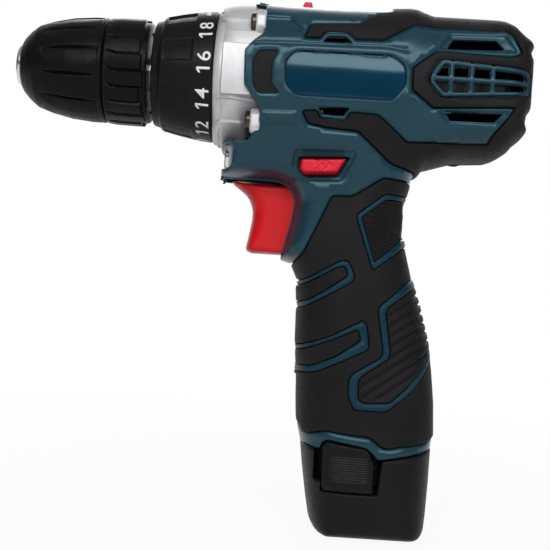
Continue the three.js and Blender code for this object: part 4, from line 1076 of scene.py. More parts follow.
NOSE_RING = [
    (-131.6, 5.5), (-132.1, 5.5), (-133.5, 5.6), (-133.8, 6.1), (-133.75, 6.8), (-133.2, 7.5), (-131.6, 7.7),
]
JAWS = 3
JAW_SLOPE = math.tan(math.radians(15))
JAW_CHANNEL_R = 2.9
JAW_START_R = 4  # radius of a jaw's centre line at the chuck's tip
CHUCK_TIP_X = -133.8


def front_sleeve_carve(x, radius, angle):
    """Shallow scallops. A narrow slot runs along one side of each and the other side fades out."""
    along = np.clip(1 - np.abs((x - SCALLOP_X) / SCALLOP_REACH) ** 2.6, 0, 1)
    across = period(angle, SCALLOP_ANGLE, 360 / SCALLOPS) + SCALLOP_HALF
    fall = np.clip(1 - across / (2 * SCALLOP_HALF * np.sqrt(along) + 1e-6), 0, 1)
    wall = np.clip(across / SLOT_HALF, 0, 1)
    slot = np.clip(1 - np.abs(across - SLOT_HALF) / (SLOT_HALF * along + 1e-6), 0, 1)
    depth = SCALLOP_DEPTH * wall * fall * np.minimum(1, 3 * along) + SLOT_DEPTH * slot * along
    return x, radius - depth + groove(x + 103.6, 0.35, 0.3)


def rear_sleeve_carve(x, radius, angle):
    """Sloping lands between slots that bend at their front ends. The lands end in three lengths."""
    pitch = 360 / LANDS
    bend = -4.5 * np.clip((-96.5 - x) / 5, 0, 1) ** 1.6
    local = (angle - LAND_ANGLE - bend) % pitch
    fade = np.clip((x + 101.1) / 2.6, 0, 1) * np.clip((-87.6 - x) / 0.3, 0, 1)
    slope = 0.62 - 0.9 * local / pitch
    edge = np.minimum(local, pitch - local)
    slot = -np.clip(1 - edge / 1.7, 0, 1)
    end = np.choose((np.floor((angle - LAND_ANGLE) / pitch) % 3).astype(int), LAND_ENDS)
    behind = np.clip((x - end) / 0.25, 0, 1)
    raised = fade * (slope * 0.55 + slot) * (1 - behind)
    return x, radius + raised - 0.95 * behind * np.clip((-86.2 - x) / 0.1, 0, 1)


def jaw_channel_carve(x, radius, angle):
    """Opens the ring where the sloping jaws slide out through it."""
    turn = np.radians(period(angle, 0, 360 / JAWS))
    middle = JAW_START_R + (x - CHUCK_TIP_X) * JAW_SLOPE
    tall = JAW_CHANNEL_R * math.hypot(1, JAW_SLOPE)
    squared = (np.cos(turn) / tall) ** 2 + (np.sin(turn) / JAW_CHANNEL_R) ** 2
    linear_part = middle * np.cos(turn) / tall ** 2
    root = linear_part ** 2 - squared * ((middle / tall) ** 2 - 1)
    reach = np.where(root > 0, (linear_part + np.sqrt(np.maximum(root, 0))) / squared, 0)
    return x, np.maximum(radius, reach)


def make_chuck():
    name = "chuck_front_sleeve"
    front = turned(f"{name}_grip", FRONT_SLEEVE, FRONT_SLEEVE_INNER, 420, front_sleeve_carve, step=0.45)
    dressed(front, "chuck_black", "chuck_sleeve", "black_plastic", name)
    name = "chuck_rear_sleeve"
    rear = turned(f"{name}_grip", REAR_SLEEVE, REAR_SLEEVE_INNER, 360, rear_sleeve_carve, step=0.22)
    dressed(creased(rear, 40), "chuck_black", "spindle", "black_plastic", name)
    nose = turned("chuck_nose_ring", NOSE_RING, [(-131.6, 7.65)], 180, jaw_channel_carve, step=0.3)
    dressed(nose, "bright", "spindle", "bright_steel")


# ---------------------------------------------------------------- torque collar

COLLAR = [
    (-85, 7), (-85, 17.4), (-84.8, 18.3), (-82.3, 19.05), (-81.9, 19.8), (-81.3, 20.15), (-76, 21.35),
    (-70, 22.45), (-64.2, 23.1), (-63.5, 22.8),
]
COLLAR_INNER = [(-84.6, 7), (-84.6, 15), (-80.4, 15), (-80.4, 18), (-79.4, 18), (-63.5, 20.2)]
COLLAR_RECESSES = 8
COLLAR_RECESS_ANGLE = 77
COLLAR_RECESS_HALF = 10.2
NUMBER_SPACING = 31.4
FIRST_NUMBER_ANGLE = 57
DRILL_MARK_ANGLE = 28
NUMBERS = ("18", "16", "14", "12", "10", "8", "6", "4", "2")
NUMBER_X = -66.7
NUMBER_HEIGHT = 4.6
NUMBER_FOOT = -0.12  # below the collar's surface
NUMBER_FACE = 0.07  # above it


def collar_radius(x):
    line = np.array(COLLAR[2:])
    return np.interp(x, line[:, 0], line[:, 1])


def collar_carve(x, radius, angle):
    """Finger recesses around the collar, deeper on one side, and a fine line behind them."""
    local = period(angle, COLLAR_RECESS_ANGLE, 360 / COLLAR_RECESSES)
    along = np.minimum(x + 80.9, -70.6 - x)
    across = COLLAR_RECESS_HALF - np.abs(local)
    gap = np.minimum(along, across * 0.36)
    depth = 0.95 - 0.55 * (local + COLLAR_RECESS_HALF) / (2 * COLLAR_RECESS_HALF)
    return x, radius - ramp(gap - 0.1, depth, 0.3) + groove(x + 69.3, 0.12, 0.2)


def on_collar(x, along, lift, angle):
    """A place above the collar's surface, some millimetres around it from an angle in degrees."""
    radius = float(collar_radius(x)) + lift
    at = math.radians(angle) - along / radius
    return x, -radius * math.sin(at), SPINDLE_Z + radius * math.cos(at)


def wrapped_text(name, text, angle, height):
    """Raised lettering on the collar. Its baseline runs around the collar and its top faces the chuck."""
    data = bpy.data.curves.new(name, "FONT")
    data.body = text
    data.size = 1
    data.align_x = "CENTER"
    data.offset = 0.006
    data.space_character = 1.1
    data.resolution_u = 8
    flat = linked(name, data)
    bpy.context.view_layer.update()
    mesh = bpy.data.meshes.new_from_object(flat.evaluated_get(bpy.context.evaluated_depsgraph_get()))
    bpy.data.objects.remove(flat)
    bpy.data.curves.remove(data)
    shape = bmesh.new()
    shape.from_mesh(mesh)
    bmesh.ops.remove_doubles(shape, verts=shape.verts, dist=1e-5)
    tall = max(v.co.y for v in shape.verts)
    if text[0] == "1":
        left = min(v.co.x for v in shape.verts)
        flag = [(left, tall), (left - 0.15, tall - 0.14), (left - 0.15, tall - 0.24), (left, tall - 0.13)]
        shape.faces.new([shape.verts.new((x, y, 0)) for x, y in flag])
    for v in shape.verts:
        v.co = Vector((v.co.x * 1.14, v.co.y, 0)) * height / tall
    for axis, across in enumerate([(1, 0, 0), (0, 1, 0)]):
        low = min(v.co[axis] for v in shape.verts)
        high = max(v.co[axis] for v in shape.verts)
        for cut in np.arange(low + 0.4, high, 0.55):
            geometry = shape.verts[:] + shape.edges[:] + shape.faces[:]
            at = Vector(across) * cut
            bmesh.ops.bisect_plane(shape, geom=geometry, plane_co=at, plane_no=across)
    top = bmesh.ops.extrude_face_region(shape, geom=shape.faces[:])["geom"]
    raised = {v for v in top if isinstance(v, bmesh.types.BMVert)}
    for v in shape.verts:
        lift = NUMBER_FACE if v in raised else NUMBER_FOOT
        v.co = Vector(on_collar(NUMBER_X - (v.co.y - height / 2), v.co.x, lift, angle)) * MM
    bmesh.ops.recalc_face_normals(shape, faces=shape.faces)
    shape.to_mesh(mesh)
    shape.free()
    return linked(name, mesh)


def drill_mark(angle):
    """The drilling setting: slanted bars and a point, like the flutes of a drill bit."""
    half, wide, slant = 0.75, 0.8, 0.7
    marks = []
    for start in (-2.6 + 1.15 * k for k in range(4)):
        end = start + wide
        marks.append([(start, -half), (end, -half), (end + slant, half), (start + slant, half)])
    marks.append([(2.1, -half), (3.3, 0), (2.8, half), (2.5, 0.3)])
    places, faces = [], []
    for corners in marks:
        first = len(places)
        for lift in (NUMBER_FOOT, NUMBER_FACE):
            places += [on_collar(NUMBER_X - across, along, lift, angle) for along, across in corners]
        faces.append(tuple(first + k for k in range(4)))
        faces.append(tuple(first + 4 + k for k in range(4)))
        faces += [tuple(first + k for k in (i, (i + 1) % 4, (i + 1) % 4 + 4, i + 4)) for i in range(4)]
    return mesh_object("collar_mark_drill", places, faces, False)


def make_collar():
    grip = turned("torque_collar_grip", COLLAR, COLLAR_INNER, 360, collar_carve, step=0.4)
    dressed(grip, "collar", "collar", "black_plastic", "torque_collar")
    for k, number in enumerate(NUMBERS):
        angle = FIRST_NUMBER_ANGLE + NUMBER_SPACING * k
        mark = wrapped_text(f"collar_number_{number}", number, angle, NUMBER_HEIGHT)
        dressed(mark, "ink", "collar", "black_plastic")
    dressed(drill_mark(DRILL_MARK_ANGLE), "ink", "collar", "black_plastic")


# ---------------------------------------------------------------- gear housing

CASTING_TOP = [
    (-66, 177.4, 22), (-63.3, 181, 23.6), (-61.5, 182.1, 24.4), (-59.2, 182.8, 25), (-56, 183.3, 25),
    (-52, 183.6, 25), (-45.4, 183.3, 25), (-40, 183.2, 25),
]
CASTING_BOTTOM = [
    (-40, 139.6, 22), (-45.4, 139.4, 22), (-47.6, 138.4, 23), (-50.6, 134.4, 24), (-60, 134.1, 24.4),
    (-62, 134.4, 24.2), (-63.3, 135, 23.6), (-66, 139, 22),
]
CASTING_WIDTHS = [(-63.3, 23.6), (-62.2, 24.5), (-60.2, 25.2), (-56, 25.4), (-40, 25.4)]
CASTING_PANEL = [(-60.2, 165.8), (-40, 165.8), (-40, 148.5), (-60.2, 148.5)]
CASTING_RIB = [(-61.8, 147.6), (-47, 147.1), (-47, 148.2), (-61.8, 148.5)]
CASTING_FRONT_X = -63.3
CASTING_REAR_X = -45.4
CASTING_POWER = 2.15
TOP_STEPS_Z = (174.4, 170.8)
BOTTOM_STEP_Z = 140.7
PANEL_Y = -25.3
PANEL_CROWN = 0.55
EAR_MIDDLE_Z = 157.2
EAR_RISE = 16.6
EAR_Y = 21


def upright(x):
    """A line down the side view, past the casting at both ends."""
    return np.array([(x, 186.0), (x, 130.0)])


def casting_sheet():
    top, bottom = rounded(CASTING_TOP, 1, closed=False), rounded(CASTING_BOTTOM, 1, closed=False)
    both = np.concatenate([top, bottom])[:, :2]
    reach = (both[:, 0] >= CASTING_FRONT_X - 0.01) & (both[:, 0] <= CASTING_REAR_X + 0.01)
    sheet = Sheet(both[reach])
    sheet.row(sampled(sheet.domain, 0.8)[0], True)
    for line in (top, bottom):
        sheet.rings(line, [-d for d in SILHOUETTE_ROWS], 0.8, False)
    sheet.rings(upright(CASTING_FRONT_X), [0.06, 0.25, 0.5], 0.8, False)
    for loop in (loop_of(CASTING_PANEL, 0.6), loop_of(CASTING_RIB, 0.2)):
        sheet.rings(loop, [-0.45, -0.2, 0, 0.2, 0.45], 0.7)
    for z in (*TOP_STEPS_Z, BOTTOM_STEP_Z, 147.0):
        line = np.array([(-64.0, z), (-45.0, z)])
        sheet.rings(line, [-0.5, -0.25, 0, 0.25, 0.5], 0.8, False)
    for x in (-60.6, -60.2):
        sheet.rings(upright(x), [-0.2, 0.2], 0.8, False)
    sheet.grid(1.3)
    sheet.triangulate()
    return sheet, (top, bottom)


def casting_places(sheet, edges):
    points = sheet.flat
    x, z = points.T
    widths = np.interp(x, *np.array(CASTING_WIDTHS).T)
    half, normal = pillow(points, edges, widths, CASTING_POWER)
    upper, lower = TOP_STEPS_Z
    relief = ramp(z - upper, 0.55, 0.3) + ramp(BOTTOM_STEP_Z - z, 0.5, 0.3)
    relief -= ramp(upper - z, 0.25, 0.3) * ramp(z - lower, 1, 0.3)
    relief *= x > -61.4
    relief += ramp(signed(points, loop_of(CASTING_RIB, 0.2)), 0.6, 0.35)
    relief += groove(x + 60.4, 0.22, 0.3)
    places = np.stack([x, -half, z], 1) + normal * relief[:, None]
    panel = signed(points, loop_of(CASTING_PANEL, 0.6))
    flat = PANEL_Y - PANEL_CROWN * (1 - ((z - EAR_MIDDLE_Z) / 8.6) ** 2)
    share = np.clip(panel / 0.35 + 0.5, 0, 1)
    places[:, 1] = np.where(share > 0, places[:, 1] * (1 - share) + flat * share, places[:, 1])
    inward = np.interp(x - CASTING_FRONT_X, [0, 0.06, 0.25, 0.5], [3.2, 0.35, 0.1, 0])
    places[:, 1] = np.minimum(places[:, 1] + inward, 0)
    return places


def mirrored(name, places, faces):
    """Both sides of a symmetrical form, joined along the middle plane."""
    return two_skins(name, places, places * [1, -1, 1], faces)


def ear(name, y, z):
    """A lug for one gearbox screw: an eight-sided block that grows out of the casting."""
    def flats(x, radius, angle):
        return x, radius * 0.97 / np.maximum(np.cos(np.radians(period(angle, 0, 45))), 0.94)
    return turned(
        name, [(-49.7, 2.2), (-49.8, 3.7), (-49.3, 4.25), (-46.9, 4.4), (-46.4, 4)],
        [(-49.5, 1.6), (-46.4, 1.6)], 96, flats, axis=(y, z), step=0.4,
    )


CAP_SCREW = [
    (-49.1, 0.05), (-49.1, 1.6), (-51.4, 1.6), (-51.55, 1.85), (-51.5, 2.8), (-51.1, 3.3), (-49.5, 3.35),
]
CASTING_NOSE = [(-84.4, 12.4), (-84.4, 14.2), (-84, 14.5), (-63.6, 14.5), (-63.3, 15), (-63.25, 20.3)]
CASTING_NOSE_INNER = [(-84.4, 12.2), (-72, 12.2), (-62, 20.3)]


def socket_screw(name, y, z):
    """A cap screw with a hexagonal socket towards the chuck."""
    def hexagon(x, radius, angle):
        flat = 1.55 / np.cos(np.radians(period(angle, 30, 60)))
        return x, np.where(radius < 1.65, flat * radius / 1.6, radius)
    return creased(turned(name, CAP_SCREW, [(-49.5, 0.05)], 48, hexagon, axis=(y, z), step=0.3), 35)


def make_gear_housing():
    sheet, edges = casting_sheet()
    body = mirrored("gear_casting", casting_places(sheet, edges), sheet.faces)
    dressed(creased(body, 40), "cast", "housing", "silver_aluminium", "gearbox_housing")
    tube = turned("gear_casting_nose", CASTING_NOSE, CASTING_NOSE_INNER, 96, step=1.2)
    # the cast nose tube gets the near-black blued look: painted shade for the gap between the chuck and the
    # collar
    dressed(creased(tube, 40), "blued_and_gap_shade", "housing", "silver_aluminium")
    corners = [(side, end) for side in (-1, 1) for end in (-1, 1)]
    for number, (side, end) in enumerate(corners, 1):
        y, z = EAR_Y * side, EAR_MIDDLE_Z + EAR_RISE * end
        lug = creased(ear(f"casting_ear_{number}", y, z), 35)
        dressed(lug, "cast", "housing", "silver_aluminium")
        screw = socket_screw(f"cap_screw_{number}", y, z)
        dressed(screw, "screw", "housing", "dark_steel", f"gearbox_screw_{number}")


# ---------------------------------------------------------------- joint between the housing halves

TONGUE_DEPTHS = (0.7, 1.5)
TONGUE_HALF_W = 0.5
TONGUE_FRONT_X = -25
TONGUE_BOTTOM_Z = 34


def make_joint_tongue():
    """A thin rib inside the joint line, along the back of the body and of the grip."""
    line = sampled(REAR_LINE[1:-1], 1.0, False)[0]
    line = line[(line[:, 0] > TONGUE_FRONT_X) & (line[:, 1] > TONGUE_BOTTOM_Z)]
    along = np.gradient(line, axis=0)
    along /= np.linalg.norm(along, axis=1)[:, None]
    inward = np.stack([along[:, 1], -along[:, 0]], 1)
    (near, deep), half = TONGUE_DEPTHS, TONGUE_HALF_W
    section = [(near, -half), (near, half), (deep, half), (deep, -half)]
    places = []
    for point, normal in zip(line, inward):
        for depth, y in section:
            x, height = point + normal * depth
            places.append((x, y, height))
    faces = [(0, 1, 2, 3), tuple(len(places) - k for k in (1, 2, 3, 4))]
    for i in range(len(line) - 1):
        for k in range(4):
            m = (k + 1) % 4
            faces.append((4 * i + k, 4 * i + 4 + k, 4 * i + 4 + m, 4 * i + m))
    tongue = mesh_object("joint_tongue", places, faces)
    dressed(creased(tongue, 40), "black", "housing", "black_plastic")


# ---------------------------------------------------------------- housing screws

SCREW_HEAD_R = 2.4
SCREW_HEAD = [(0, 0.05), (0, 1.9), (0.3, 2.3), (0.6, SCREW_HEAD_R), (1.8, SCREW_HEAD_R)]
BELOW_SKIN = 0.7


def cross_recess(x, radius, angle):
    """Sinks a cross into the flat top of a screw head."""
    across, along = (np.abs(radius * f(np.radians(angle))) for f in (np.sin, np.cos))
    in_cross = (np.minimum(across, along) < 0.42) & (radius < 1.5)
    return np.where(in_cross & (x < 1), x + 0.9, x), radius


def make_housing_screws():
    """Pan-head screws below the skin of the right side. They point towards the left."""
    for number, (x, z) in enumerate(HOUSING_SCREWS, 1):
        rim = circle(x, z, SCREW_WELL_R)
        widths = np.interp(rim[:, 1], *np.array(SIDE_WIDTHS).T)
        top = pillow(rim, [REAR_LINE, FRONT_LINE], widths, SIDE_POWER)[0].min() - BELOW_SKIN
        name = f"screw_head_{number}"
        head = turned(name, SCREW_HEAD, [(1.8, 0.05)], 72, cross_recess, axis=(0, 0), step=0.2)
        head.data.transform(Matrix(((0, 1, 0, x * MM), (-1, 0, 0, top * MM), (0, 0, 1, z * MM), (0, 0, 0, 1))))
        dressed(creased(head, 35), "screw", "housing", "dark_steel", f"housing_screw_{number}")


# ---------------------------------------------------------------- trigger, switches and light

TRIGGER = [
    (-55.5, 121.9, 3), (-44, 121.6, 2.2), (-30, 121.4, 1.5), (-28.2, 120, 1.2), (-28.2, 97, 1.2),
    (-36.4, 96.5, 1.5), (-47.3, 96.5, 2.4), (-49.2, 97.6, 3), (-48.3, 103, 5.5), (-47.5, 107.8, 6),
    (-47.4, 111.4, 6), (-48.3, 114.6, 6), (-49.9, 117, 5.5), (-52.5, 119, 4.5), (-54.8, 120.6, 3),
]
DIRECTION_BUTTON = [
    (-31.9, 129.1, 1.3), (-16.1, 130, 1.3), (-19.3, 124.5, 1.3), (-30.5, 123.8, 1.3), (-32.2, 125.6, 1.3),
]
SPEED_KNOB = [
    (-34.6, 182.6, 0.5), (-30.4, 182.6, 0.5), (-30.5, 185, 1), (-31, 186.9, 1), (-33.7, 186.9, 1),
    (-34.5, 184.9, 1),
]
WORK_LIGHT = [(-58.7, 126.2, 1.2), (-58.7, 131, 1.2), (-56.8, 131.2, 0.3), (-56.8, 126, 0.3)]
RIM_SHARES = (0.01, 0.04, 0.1, 0.2, 0.34, 0.52, 0.76, 1)
CHEVRON = [(0, 0), (1.7, 1.7), (0, 3.4), (1.2, 3.4), (2.9, 1.7), (1.2, 0)]


def pillow_piece(name, corners, widths, power, corner_radius, spacing, relief=None):
    """A closed piece with a rounded rim. Each corner gives the depth of the rounding there."""
    loop = counterclockwise(rounded(corners, corner_radius))
    rim = np.concatenate([loop, loop[:1]])[::-1]
    sheet = Sheet(loop[:, :2])
    sheet.row(sampled(sheet.domain, spacing * 0.8)[0], True)
    deep = loop[:, 2].max()
    sheet.rings(rim, [-deep * d for d in RIM_SHARES], spacing * 0.8, False)
    if relief:
        for line in relief.lines:
            sheet.rings(line, [-0.3, -0.12, 0, 0.12], 0.4)
    sheet.grid(spacing, 0.35 * spacing)
    sheet.triangulate()
    points = sheet.flat
    sides = []
    for width, side in zip(widths, (-1, 1)):
        half, normal = pillow(points, [rim], np.full(len(points), float(width)), power)
        places = np.stack([points[:, 0], -half, points[:, 1]], 1)
        if relief:
            places += normal * relief(points)[:, None]
        places[:, 1] = np.minimum(places[:, 1], 0)
        sides.append(places * [1, -side, 1])
    return two_skins(name, *sides, sheet.faces)


class Arrows:
    """Two chevrons sunk into a switch to show which way it goes."""

    def __init__(self, x, z, size):
        base = np.array(CHEVRON) * size
        self.lines = [counterclockwise(base + (x + 2.3 * size * k, z)) for k in range(2)]

    def __call__(self, points):
        return -sum(ramp(signed(points, line), 0.3, 0.25) for line in self.lines)


def block(name, x, y, z, bevel):
    """A small moulded block with rounded edges."""
    corners = [(a, b, c) for a in x for b in y for c in z]
    faces = [(0, 1, 3, 2), (4, 6, 7, 5), (0, 4, 5, 1), (2, 3, 7, 6), (0, 2, 6, 4), (1, 5, 7, 3)]
    return bevelled(mesh_object(name, corners, faces), bevel)


def make_controls():
    trigger = pillow_piece("trigger_blade", TRIGGER, (8.5, 8.5), 2.4, 1.2, 1.1)
    dressed(trigger, "red", "trigger", "red_plastic", "trigger")
    arrows = Arrows(-27.4, 125.2, 1.15)
    button = pillow_piece("direction_lever", DIRECTION_BUTTON, (24.6, 20.6), 4, 0.9, 0.8, arrows)
    dressed(button, "button", "direction_button", "red_plastic", "direction_button")
    guide = block("direction_guide", (-34.2, -13.4), (-18.5, 18.5), (121.8, 132.4), 0.4)
    dressed(guide, "black", "housing", "black_plastic")
    knob = pillow_piece("speed_knob", SPEED_KNOB, (4.6, 4.6), 5, 0.5, 0.5)
    dressed(knob, "button", "speed_selector", "red_plastic", "speed_selector")
    shoe = block("speed_shoe", (-36.4, -15.7), (-3.6, 3.6), (182.1, 182.9), 0.25)
    dressed(shoe, "black", "speed_selector", "red_plastic")
    prong = block("speed_prong", (-17.6, -16.4), (-1.6, 1.6), (179.1, 182.3), 0.2)
    dressed(prong, "dark_steel", "speed_selector", "dark_steel")
    lens = pillow_piece("work_light", WORK_LIGHT, (4.5, 4.5), 5, 0.6, 0.6)
    dressed(lens, "lens", "housing", "clear_lens", "work_light_lens")
    lamp = block("work_light_led", (-56.9, -55.6), (-2.2, 2.2), (127, 130.2), 0.4)
    dressed(lamp, "led", "housing", "clear_lens")


# ---------------------------------------------------------------- battery

BATTERY_SIDE = [
    (-25, 40, 17), (-25.2, 30.6, 17), (-24.1, 22.6, 17), (-22.3, 12, 16), (-20.8, 4.6, 12),
    (-18.8, 1.5, 8), (-15.6, 0.05, 5.5), (14.4, 0.05, 5.5), (17.6, 1, 7), (19.6, 3.6, 11),
    (20.2, 9.4, 15), (20.6, 20, 17), (20.7, 31.8, 17), (20.7, 40, 17),
]
BATTERY_TOP = [(20.6, 32.1), (12.3, 30.6), (8.1, 29.9), (2, 28.8)]
LATCH_NOTCH = [(1.0, 17.2), (-17.9, 17.2), (-17.9, 20.5), (-20.5, 20.5), (-20.6, 30.8)]
LATCH = [
    (-17.4, 17.7), (-0.6, 17.7), (-0.7, 27.6), (-2.4, 31.6), (-4, 32.6), (-9.2, 33.2), (-16.8, 34.1),
    (-18, 32.6), (-17.8, 21),
]
LATCH_POCKET = [(-21.2, 16.4), (1.8, 16.4), (1.8, 31), (-1, 34.8), (-18.2, 34.8), (-21.2, 31.2)]
POCKET_DEPTH = 4.2
BATTERY_HALF_W = 22.3
BATTERY_POWER = 2.7
BATTERY_LINE = rounded(BATTERY_SIDE, 1.4, closed=False)[::-1]
BATTERY_FOLD = 4.2
LATCH_FOLD = 1.9
LATCH_BACK_Y = -20.4
POCKET_WALL = 0.8
RIDGE_START_Z = 20.4
RIDGE_PITCH = 0.8
TOWER_LEAN = math.radians(5)
TOWER_HALF = (19, 17.9)
TOWER_SQUARENESS = 0.62
# Height and growth of each ring of the tower.
TOWER_RINGS = [(17, -1.2), (17, 0), (30, 0), (66.6, 0), (68.2, -0.5), (68.8, -1.6)]
TOWER_POINTS = 96


def battery_surface(points):
    return pillow(points, [BATTERY_LINE], np.full(len(points), BATTERY_HALF_W), BATTERY_POWER)


def battery_sheet():
    """The battery's side view and the edge along its top."""
    side = BATTERY_LINE[::-1][1:-1, :2]
    edge = rounded(BATTERY_TOP + LATCH_NOTCH + [(-25.2, 30.8)], 0.7, closed=False)
    sheet = Sheet(np.concatenate([side, edge[:-1]]))
    sheet.row(sampled(sheet.domain, 0.9)[0], True)
    sheet.rings(BATTERY_LINE, [-d for d in SILHOUETTE_ROWS], 1.0, False)
    sheet.rings(edge, [-d for d in EDGE_ROWS] + EDGE_ROWS, 0.7, False)
    for z in (13.2, 15.8):
        line = np.array([(-20.0, z + 0.8), (2.0, z - 1.2)])
        sheet.rings(line, [-0.4, 0, 0.4], 0.8, False)
    sheet.grid(1.8)
    sheet.triangulate()
    return sheet, edge


def make_battery():
    sheet, edge = battery_sheet()
    half, normal = battery_surface(sheet.flat)
    places = np.stack([sheet.flat[:, 0], -half, sheet.flat[:, 1]], 1)
    x, z = sheet.flat.T
    on_line = np.clip((11.0 - np.abs(x + 9)) / 2, 0, 1)
    places += normal * (groove(z + 0.09 * x - 13.9, 0.25, 0.5) * on_line)[:, None]
    inward = fold(nearest(sheet.flat, edge, False)[0].min(1), BATTERY_FOLD)
    places[:, 1] = np.minimum(places[:, 1] + inward, 0)
    case = mirrored("battery_shell", places, sheet.faces)
    dressed(creased(case, 50), "battery", "battery", "battery_plastic", "battery_case")
    dressed(battery_tower(), "battery", "battery", "battery_plastic")
    for side, word in ((-1, "left"), (1, "right")):
        latch = latch_piece(word, side)
        dressed(latch, "latch", f"latch_{word}", "black_plastic", f"battery_latch_{word}")
        # the pocket floor is dressed near-black as painted shade inside the latch pocket
        dressed(pocket_floor(word, side), "pocket", "battery", "battery_plastic")


def joined_at(name, loop, sheet, front, back, side):
    """A closed piece whose two skins meet along a loop, on the left side or mirrored to the right."""
    border = nearest(sheet.flat, loop)[0].min(1) < 1e-3
    back[border] = front[border]
    flip = [1, -side, 1]
    return two_skins(name, front * flip, back * flip, sheet.faces)


def pocket_floor(word, side):
    """The floor of a latch's pocket, as deep below the battery's surface as the latch can be pressed."""
    loop = loop_of(LATCH_POCKET, 0.6)
    sheet = Sheet(loop)
    sheet.row(sampled(loop, 1.0)[0], True)
    sheet.grid(1.6, 0.5)
    sheet.triangulate()
    points = sheet.flat
    half, _ = battery_surface(points)
    front = np.stack([points[:, 0], POCKET_DEPTH - half, points[:, 1]], 1)
    return joined_at(f"latch_pocket_{word}", loop, sheet, front, front + [0, POCKET_WALL, 0], side)


def latch_piece(word, side):
    """A side latch with a ridged area for the finger."""
    loop = loop_of(LATCH, 0.9)
    sheet = Sheet(loop)
    sheet.row(sampled(loop, 0.5)[0], True)
    sheet.rings(loop, EDGE_ROWS, 0.6)
    for z in np.arange(RIDGE_START_Z, 29.8, RIDGE_PITCH / 2):
        sheet.row(np.stack([np.arange(-16.9, -1.7, 0.8), np.full(19, z)], 1))
    sheet.grid(1.2, 0.4)
    sheet.triangulate()
    points = sheet.flat
    half, normal = battery_surface(points)
    x, z = points.T
    ridges = 0.2 * np.abs(((z - RIDGE_START_Z) / RIDGE_PITCH) % 1 - 0.5) * 2
    area = np.min([x + 17.1, -1.9 - x, z - 20, 30.2 - z], 0)
    relief = 0.15 + ridges * np.clip(area / 0.5, 0, 1)
    front = np.stack([x, -half, z], 1) + normal * relief[:, None]
    front[:, 1] += fold(nearest(points, loop)[0].min(1), LATCH_FOLD)
    back = np.stack([x, np.full(len(x), LATCH_BACK_Y), z], 1)
    return creased(joined_at(f"latch_{word}_button", loop, sheet, front, back, side), 50)


def battery_tower():
    """The neck that slides into the handle, leaning with it."""
    count = TOWER_POINTS
    angles = np.linspace(0, 2 * math.pi, count, endpoint=False)
    c, s = np.cos(angles), np.sin(angles)
    tilt_c, tilt_s = math.cos(TOWER_LEAN), math.sin(TOWER_LEAN)
    points = []
    for z, grow in TOWER_RINGS:
        along = np.sign(c) * np.abs(c) ** TOWER_SQUARENESS * (TOWER_HALF[0] + grow)
        across = np.sign(s) * np.abs(s) ** TOWER_SQUARENESS * (TOWER_HALF[1] + grow)
        points.append(np.stack([along * tilt_c - z * tilt_s, across, along * tilt_s + z * tilt_c], 1))
    rows = len(TOWER_RINGS)
    faces = []
    for i in range(rows - 1):
        for j in range(count):
            m = (j + 1) % count
            faces.append((i * count + j, i * count + m, (i + 1) * count + m, (i + 1) * count + j))
    faces += [tuple(range(count)), tuple((rows - 1) * count + j for j in range(count))]
    return creased(mesh_object("battery_tower", np.concatenate(points), faces), 50)


# ---------------------------------------------------------------- the parts kept from the frame

KEPT = {
    # the chuck body's near-black is partly blued steel and partly painted shade for the gap behind the chuck
    "blued_and_gap_shade": ["chuck_body"],
    "dark_steel": ["chuck_nut", "chuck_screw", "ring_gear_front", "ring_gear_rear"],
    "bright": [
        "clutch_spring", "clutch_washer", "output_spindle", "spindle_bearing", "gearbox_rear_plate",
        "planet_carrier_front", "planet_carrier_rear", "trigger_spring",
    ],
    # the motor can's dark steel is painted shade inside the vents
    "can": ["motor_can"],
    "black": ["motor_end_cap", "switch_body", "battery_cap"],
    "winding": ["motor_rotor"],
    "brass": ["terminal_block"],
    "wrap": [],
}
for number in (1, 2, 3):
    KEPT["dark_steel"].append(f"chuck_jaw_{number}")
    KEPT["bright"] += [f"planet_front_{number}", f"planet_rear_{number}"]
    KEPT["wrap"].append(f"battery_cell_{number}")


def dress_kept_parts():
    for look, names in KEPT.items():
        for name in names:
            materials = bpy.data.objects[name].data.materials
            materials.clear()
            materials.append(LOOKS[look])


# ---------------------------------------------------------------- floor, light and camera


SHADOW_REACH = (0.06, 0.4)  # metres from the middle of the base
STAGE_REACH = 2500
BACKDROP_Y = 1800
BACKDROP_TOP = 3000
STAGE_GREY = (0.6, 0.6, 0.61, 1)


def white_to_camera(name, colour, near, far):
    """A pale surface that the camera and reflections see as white, apart from the shadow near the object."""
    look = bpy.data.materials.new(name)
    look.use_nodes = True
    tree = look.node_tree
    tree.nodes.clear()

    def math_node(operation, *inputs):
        made = tree.nodes.new("ShaderNodeMath")
        made.operation = operation
        for socket, value in zip(made.inputs, inputs):
            tree.links.new(value, socket)
        return made.outputs[0]

    out = tree.nodes.new("ShaderNodeOutputMaterial")
    diffuse = tree.nodes.new("ShaderNodeBsdfDiffuse")
    diffuse.inputs["Color"].default_value = colour
    glow = tree.nodes.new("ShaderNodeEmission")
    path = tree.nodes.new("ShaderNodeLightPath").outputs
    seen = math_node("MAXIMUM", path["Is Camera Ray"], path["Is Glossy Ray"])
    seen = math_node("MAXIMUM", seen, path["Is Transmission Ray"])
    place = tree.nodes.new("ShaderNodeTexCoord")
    away = tree.nodes.new("ShaderNodeVectorMath")
    away.operation = "LENGTH"
    tree.links.new(place.outputs["Object"], away.inputs[0])
    share = map_range(tree, away.outputs["Value"], SHADOW_REACH, (near, far))
    mix = tree.nodes.new("ShaderNodeMixShader")
    tree.links.new(math_node("MULTIPLY", seen, share), mix.inputs["Fac"])
    tree.links.new(diffuse.outputs[0], mix.inputs[1])
    tree.links.new(glow.outputs[0], mix.inputs[2])
    tree.links.new(mix.outputs[0], out.inputs["Surface"])
    return look


